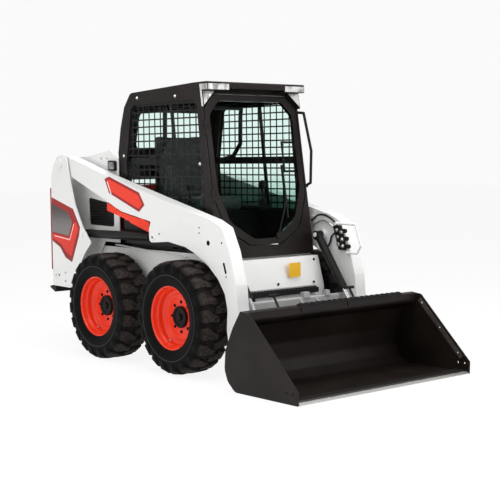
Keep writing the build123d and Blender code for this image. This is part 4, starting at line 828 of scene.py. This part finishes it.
CAB_SIDE_Y = 0.4403
bolts("cab_bolts", [((x, side * CAB_SIDE_Y, z), (0, side, 0), 0.0085) for side, word in SIDES
                    for x, z in CAB_BOLTS], bright_bolt, "chassis", 24, 0.55)


def upright_turned(rows, steps, foot):
    """A turned part that stands on its foot, from (height, radius) rows."""
    bm = disc_ring(rows, steps, (0.0, 0.0, 0.0), 1)
    bm.transform(Matrix.Translation(foot) @ Matrix.Rotation(math.radians(90.0), 4, "X"))
    return bm


# a corrugated drain hose behind the cab's right corner, one moulded fold repeated
FOLD = [(0.000, 0.0120), (0.001, 0.0150), (0.005, 0.0205), (0.008, 0.0205), (0.012, 0.0150), (0.013, 0.0120)]
DRAIN_FOOT = (-0.7960, -0.4290, 1.330)
FOLD_STEP = (0.0, 0.0, 0.0122)
fold = plain_mesh("fold", upright_turned(FOLD, 28, DRAIN_FOOT))
add_row("drain_bellows", fold, 9, FOLD_STEP, chassis_black, "chassis", 40.0)

# ------------------------ seat
# A suspension seat on a sheet steel box: two foam cushions in black vinyl with sewn channels,
# the lower one to sit on, the upper one to lean on.

paint_nodes(["seat_base"], chassis_black)
seat_vinyl, at = new_finish("seat_vinyl", "seat_vinyl", {"Specular IOR Level": 0.4, "Sheen Weight": 0.1})
leather = at.node("ShaderNodeTexVoronoi", {"feature": "DISTANCE_TO_EDGE"}, {"Vector": at, "Scale": 420.0})
wear = at.noise(7.0, 4.0)
feed(seat_vinyl, {
    "Base Color": wear.ramp(0.35, 0.7).mix((0.017, 0.017, 0.018, 1), (0.032, 0.031, 0.031, 1)),
    "Roughness": wear * 0.2 + 0.42,
    "Normal": leather.ramp(0.0, 0.12).bump(0.25, 0.0006),
})
SEAT_SWELL = 0.014
SEAT_SEAMS = (-0.135, 0.135)
SEAM_WIDTH = 0.006
SEAM_DEPTH = 0.009
BLOW_FRAMES = 20


def blow_up(pad):
    """Lets air pressure swell a pad's cloth, no further than the swell that was left for it."""
    cloth = pad.modifiers.new("cloth", "CLOTH")
    cloth.settings.use_pressure = True
    cloth.settings.uniform_pressure_force = 4.0
    cloth.settings.effector_weights.gravity = 0.0
    cloth.settings.quality = 4
    scene = bpy.context.scene
    for frame_number in range(1, BLOW_FRAMES + 1):
        scene.frame_set(frame_number)
    depsgraph = bpy.context.evaluated_depsgraph_get()
    blown = pad.evaluated_get(depsgraph).to_mesh()
    moved = [vert.co.copy() for vert in blown.vertices]
    pad.modifiers.clear()
    scene.frame_set(1)
    for vert, now in zip(pad.data.vertices, moved):
        shift = now - vert.co
        if shift.length > SEAT_SWELL:
            shift *= SEAT_SWELL / shift.length
        vert.co += shift


def cushion(name, low, high, flat_axis):
    """One foam cushion: a slightly smaller box, swollen by air pressure and held back at its seams."""
    middle = [(a + b) / 2 for a, b in zip(low, high)]
    bm = bmesh.new()
    bmesh.ops.create_cube(bm, size=1.0)
    for vert in bm.verts:
        vert.co = Vector(m + c * (b - a - 2 * SEAT_SWELL) for m, c, a, b in zip(middle, vert.co, low, high))
    bmesh.ops.bevel(bm, geom=bm.edges[:], offset=0.022, segments=4, profile=0.6, affect="EDGES")
    pad = new_object(name + "_start", plain_mesh(name + "_start", bm))
    remesh = pad.modifiers.new("remesh", "REMESH")
    remesh.mode = "VOXEL"
    remesh.voxel_size = 0.006
    rest = evaluated_mesh(pad)
    pad.modifiers.clear()
    pad.data = rest
    blow_up(pad)
    for vert in rest.vertices:
        out = vert.co[flat_axis] - middle[flat_axis]
        reach = abs(out) / ((high[flat_axis] - low[flat_axis]) / 2)
        pull = sum(math.exp(-((vert.co.y - seam) / SEAM_WIDTH) ** 2) for seam in SEAT_SEAMS)
        vert.co[flat_axis] -= math.copysign(SEAM_DEPTH * min(pull, 1.0) * max(0.0, reach - 0.3), out)
    finer = pad.modifiers.new("finer", "SUBSURF")
    finer.levels = finer.render_levels = 1
    done = evaluated_mesh(pad)
    bpy.data.objects.remove(pad)
    piece = add_piece(name, done, seat_vinyl, "chassis", 60.0)
    return piece


def islands(bm):
    """The loose parts of a bmesh, each as the places of its vertices."""
    parts = []
    left_over = set(bm.verts)
    while left_over:
        part, edge = [], [left_over.pop()]
        while edge:
            vert = edge.pop()
            part.append(tuple(vert.co))
            fresh = {link.other_vert(vert) for link in vert.link_edges} & left_over
            left_over -= fresh
            edge.extend(fresh)
        parts.append(part)
    return parts


seat_solids = node_shape("seat_cushions")
lower, upper = sorted(islands(seat_solids), key=lambda part: sum(place[2] for place in part) / len(part))
seat_solids.free()
for name, part, flat_axis in (("seat_pad", lower, 2), ("seat_back", upper, 0)):
    low, high = [min(line) for line in zip(*part)], [max(line) for line in zip(*part)]
    piece = cushion(name, low, high, flat_axis)
    if name == "seat_pad":
        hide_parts("seat_cushions")

# ------------------------ controls and seat bar
# Sheet steel stands with a steering lever on each, in a rubber boot, and the padded bar that
# swings down over the lap.

rounded("control_stands", 0.02, chassis_black, "chassis")
# a ribbed boot, a stem and a waisted grip, turned in one (height above the stand, radius)
LEVER_ROWS = [
    (0.000, 0.034), (0.006, 0.034), (0.010, 0.029), (0.015, 0.031), (0.020, 0.026), (0.025, 0.028),
    (0.031, 0.021), (0.036, 0.022), (0.042, 0.012), (0.060, 0.009), (0.112, 0.009), (0.120, 0.015),
    (0.130, 0.021), (0.143, 0.0250), (0.158, 0.0255), (0.170, 0.0240), (0.178, 0.0185), (0.182, 0.0110),
    (0.1835, 0.0040),
]
lever_rubber = dark_steel(
    "lever_rubber", "frame_black", (0.006, 0.006, 0.006, 1), (0.013, 0.013, 0.013, 1), 0.5, 500.0)
for side, word in SIDES:
    lever = upright_turned(LEVER_ROWS, 32, (-0.040, side * 0.335, 1.106))
    lever = add_piece("lever_" + word, lever, lever_rubber, "chassis", 40.0)
    if side < 0:
        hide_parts("control_levers")
paint_nodes(["seat_bar"], chassis_black)

# ------------------------ fenders, front panel and step
# Thin painted rails along the tub over the tyres, a panel that closes the front of the tub, and
# a bar to step on.

rounded("fenders", 0.002, white_paint, "chassis")
rounded("front_panel", 0.002, white_paint, "chassis")
rounded("front_step", 0.002, chassis_black, "chassis")
tooth = bar_mesh([(0.515, 0.5385), (0.544, 0.5385), (0.541, 0.5480), (0.518, 0.5480)], -0.345, -0.333)
add_row("step_teeth", tooth, 24, (0.0, 0.029, 0.0), chassis_black, "chassis")
post = bar_mesh([(0.5045, 0.410), (0.530, 0.405), (0.533, 0.507), (0.5045, 0.507)], -0.255, -0.228)
add_row("step_posts", post, 2, (0.0, 0.483, 0.0), chassis_black, "chassis")
label_yellow, at = new_finish("label_yellow", "body_white", {
    "Coat Weight": 0.1, "Coat Roughness": 0.1, "Specular IOR Level": 0.3})
feed(label_yellow, {
    "Base Color": at.noise(30.0).mix((0.80, 0.43, 0.008, 1), (0.88, 0.50, 0.015, 1)),
    "Roughness": at.noise(80.0) * 0.15 + 0.3,
})
PANEL_FACE_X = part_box("front_panel")[1][0]
outline = rounded_box((0.100, 0.622), (0.208, 0.722), 0.010)
label = bar_mesh(outline, PANEL_FACE_X - FILM_SINK, PANEL_FACE_X + 0.0005, 0)
add_piece("blank_label", label, label_yellow, "chassis")
PANEL_BOLTS = [(0.0, 0.582), (-0.335, 0.735), (0.335, 0.735), (-0.335, 0.575), (0.335, 0.575)]
bolts("panel_bolts", [((PANEL_FACE_X, y, z), (1, 0, 0), 0.0075) for y, z in PANEL_BOLTS],
      hub_black, "chassis", **ROUND_HEAD)

# ------------------------ lift arms
# Box-section arms welded from plate, with a cross tube between their lower ends. They carry
# printed stripes, an orange support below, and the left one rigid pipes with their couplers.

arm_paint, at = white_finish("arm_paint")
along, up = at.axis("X"), at.axis("Z")
# the plate is pressed back above a line that climbs from the elbow towards the cab
crease = up - (1.110 - (along + 0.175) * 0.150)
pressed = crease.ramp(-0.006, 0.006) * along.ramp(-0.30, 0.05)
feed(arm_paint, {"Normal": (at.noise(420.0, 2.0) * 0.00007 - pressed * 0.004).bump(1.0, 1.0)})
ARM_FACE_Y = 0.585
# from the lift pin forwards, what is sunk a little below the arm's face, the bores and pin ends, is painted
# dark as painted shade of these recesses
for side, word in SIDES:
    arm = rounded("lift_arm_" + word, 0.007, arm_paint, "lift_arms", corner=32.0)
    arm.data.materials.append(hub_black)
    for face in arm.data.polygons:
        depth = ARM_FACE_Y - abs(face.center.y)
        if 0.0003 < depth < 0.02 and face.area < 0.01 and face.center.x > -0.20:
            face.material_index = 1
ARM_FLASH = [(-0.747, 1.311), (-0.691, 1.209), (-0.311, 1.080), (-0.242, 1.131), (-0.307, 1.218),
             (-0.686, 1.329)]
ARM_LINE = [(-0.716, 1.292), (-0.668, 1.203), (-0.655, 1.199), (-0.705, 1.292)]
for side, word in SIDES:
    film("arm_flash_" + word, ARM_FLASH, ARM_FACE_Y, side, 0.0003, crimson_film, "lift_arms")
    film("arm_field_" + word, inset(ARM_FLASH, 0.020), ARM_FACE_Y, side, 0.0006, orange_film, "lift_arms")
    film("arm_line_" + word, ARM_LINE, ARM_FACE_Y, side, 0.0009, light_film, "lift_arms")
# a welded collar round each lift pin, and the pin's dark end within it
LIFT_PIN = (-0.157, 0.0, 0.905)
COLLAR = [(0.5835, 0.0330), (0.5875, 0.0320), (0.5885, 0.0305), (0.5885, 0.0205), (0.5875, 0.0190),
          (0.5835, 0.0185)]
PIN_END = [(0.5840, 0.0195), (0.5862, 0.0195), (0.5862, 0.0070)]
for side, word in SIDES:
    bm = bmesh.new()
    turned(bm, COLLAR, 40, LIFT_PIN, side)
    add_piece("lift_collar_" + word, bm, white_paint, "lift_arms", 40.0)
    add_piece("lift_pin_end_" + word, disc_ring(PIN_END, 40, LIFT_PIN, side), hub_black, "lift_arms", 40.0)
support_orange = dark_steel(
    "support_orange", "support_orange", (0.72, 0.035, 0.014, 1), (0.84, 0.055, 0.022, 1), 0.3, 300.0)
rounded("arm_support", 0.003, support_orange, "lift_arms")
grey_paint = dark_steel("grey_paint", "frame_grey", (0.33, 0.33, 0.33, 1), (0.42, 0.42, 0.41, 1), 0.34, 300.0)
rounded("arm_crossmember", 0.004, grey_paint, "lift_arms")
CROSS_TAB = [(0.655, 0.497), (0.700, 0.497), (0.692, 0.534), (0.662, 0.534)]
for name, low_y, high_y in (("cross_tab_inner", 0.070, 0.125), ("cross_tab_outer", 0.275, 0.315)):
    add_piece(name, bar_mesh(CROSS_TAB, low_y, high_y), grey_paint, "lift_arms")


def pipe(name, places, radius, material, body):
    """A rigid steel pipe bent through a few places, with its ends closed."""
    curve = bpy.data.curves.new(name, "CURVE")
    curve.dimensions = "3D"
    curve.bevel_depth = radius
    curve.bevel_resolution = 3
    curve.use_fill_caps = True
    curve.resolution_u = 12
    line = curve.splines.new("NURBS")
    line.points.add(len(places) - 1)
    for point, place in zip(line.points, places):
        point.co = (*place, 1.0)
    line.order_u = 3
    line.use_endpoint_u = True
    start = new_object(name + "_line", curve)
    made = evaluated_mesh(start)
    bpy.data.objects.remove(start)
    return add_piece(name, made, material, body, 50.0)


# pressed steel pipes along the left arm's inner plate, from the tilt cylinder over to the couplers
PIPE_Y = 0.4765
PIPE_END_Y = 0.4860     # each pipe starts in the arm's plate
PIPE_RUNS = [
    ("high", 0.0070, chassis_black, [
        (0.330, 1.000), (0.350, 1.000), (0.400, 1.040), (0.470, 1.046), (0.540, 1.020), (0.590, 0.985),
        (0.606, 0.955)]),
    ("low", 0.0065, bright_bolt, [
        (0.340, 0.962), (0.360, 0.962), (0.420, 0.995), (0.480, 1.004), (0.545, 0.975), (0.580, 0.950)]),
    ("back", 0.0065, chassis_black, [
        (0.480, 0.800), (0.500, 0.802), (0.535, 0.850), (0.545, 0.900), (0.580, 0.915)]),
]
for word, radius, material, rows in PIPE_RUNS:
    places = [(x, PIPE_Y if count else PIPE_END_Y, z) for count, (x, z) in enumerate(rows)]
    pipe("coupler_pipe_" + word, places, radius, material, "lift_arms")
FITTINGS = [(0.615, 0.940), (0.622, 0.890), (0.629, 0.840), (0.660, 0.925), (0.667, 0.875), (0.674, 0.830)]
bolts("coupler_fittings", [((x, 0.4592, z), (0, -1, 0), 0.0110) for x, z in FITTINGS],
      bright_bolt, "lift_arms", 6, 0.8)

# ------------------------ cylinders
# Black painted barrels with bright plated rods, two that lift the arms and two that tilt the
# bucket. The coupler block and its guard get their paint here too.

rod_chrome, at = new_finish("rod_chrome", "rod_chrome", {"Metallic": 1.0})
feed(rod_chrome, {
    "Base Color": at.noise(20.0, 3.0).mix((0.62, 0.62, 0.63, 1), (0.78, 0.78, 0.79, 1)),
    "Roughness": at.noise(150.0, 2.0) * 0.12 + 0.1,
})
paint_nodes(("lift_barrels", "tilt_barrels", "coupler_block"), chassis_black)
paint_nodes(("lift_rods", "tilt_rods"), rod_chrome)
paint_nodes(["coupler_guard"], white_paint)

# ------------------------ bucket
# A coupler plate pinned to the arms, and a wide dirt bucket of black plate with a bare steel
# cutting edge welded along its lip.

bucket_black = dark_steel(
    "bucket_black", "frame_black", (0.0070, 0.0047, 0.0038, 1), (0.0130, 0.0088, 0.0072, 1), 0.33, 240.0)
rounded("bucket_shell", 0.003, bucket_black, "bucket")
paint_nodes(("quick_attach", "attach_levers"), chassis_black)
TILT_PIVOT = (0.770, 0.200)
slim_pins(rounded("hinge_pins", 0.0015, pin_steel, "bucket"), [TILT_PIVOT])
edge_steel, at = new_finish("edge_steel", "edge_steel", {})
scrapes = at.node("ShaderNodeMapping", None, {"Vector": at, "Scale": (2.0, 14.0, 2.0)}).noise(9.0, 5.0, 0.7)
# the lip is worn bare along its front
worn = (at.axis("X") + scrapes * 0.02).ramp(1.540, 1.550)
feed(edge_steel, {
    "Base Color": worn.mix((0.012, 0.0095, 0.009, 1), (0.60, 0.59, 0.57, 1)),
    "Metallic": worn * 0.8,
    "Roughness": scrapes * 0.2 + 0.25,
    "Normal": scrapes.bump(0.2, 0.001),
})
rounded("cutting_edge", 0.003, edge_steel, "bucket")
rounded("bucket_step", 0.002, chassis_black, "bucket")
# a rubbed wear strip inside each side plate, along its sloping edge
strip_steel = dark_steel(
    "strip_steel", "frame_black", (0.030, 0.026, 0.024, 1), (0.075, 0.067, 0.062, 1), 0.3, 200.0)
STRIP = [(1.5053, 0.1127), (1.1286, 0.4780), (1.1077, 0.4565), (1.4844, 0.0912)]
STRIP_BOLTS = [(1.145, 0.442), (1.305, 0.287), (1.465, 0.132)]
for side, word in SIDES:
    strip = bar_mesh(STRIP, side * 0.7684, side * 0.7620)
    add_piece("bucket_strip_" + word, strip, strip_steel, "bucket")
STRIP_BOLT_Y = 0.7622
bolts("bucket_strip_bolts", [((x, side * STRIP_BOLT_Y, z), (0, -side, 0), 0.0060) for side, word in SIDES
                             for x, z in STRIP_BOLTS], pin_steel, "bucket", **ROUND_HEAD)
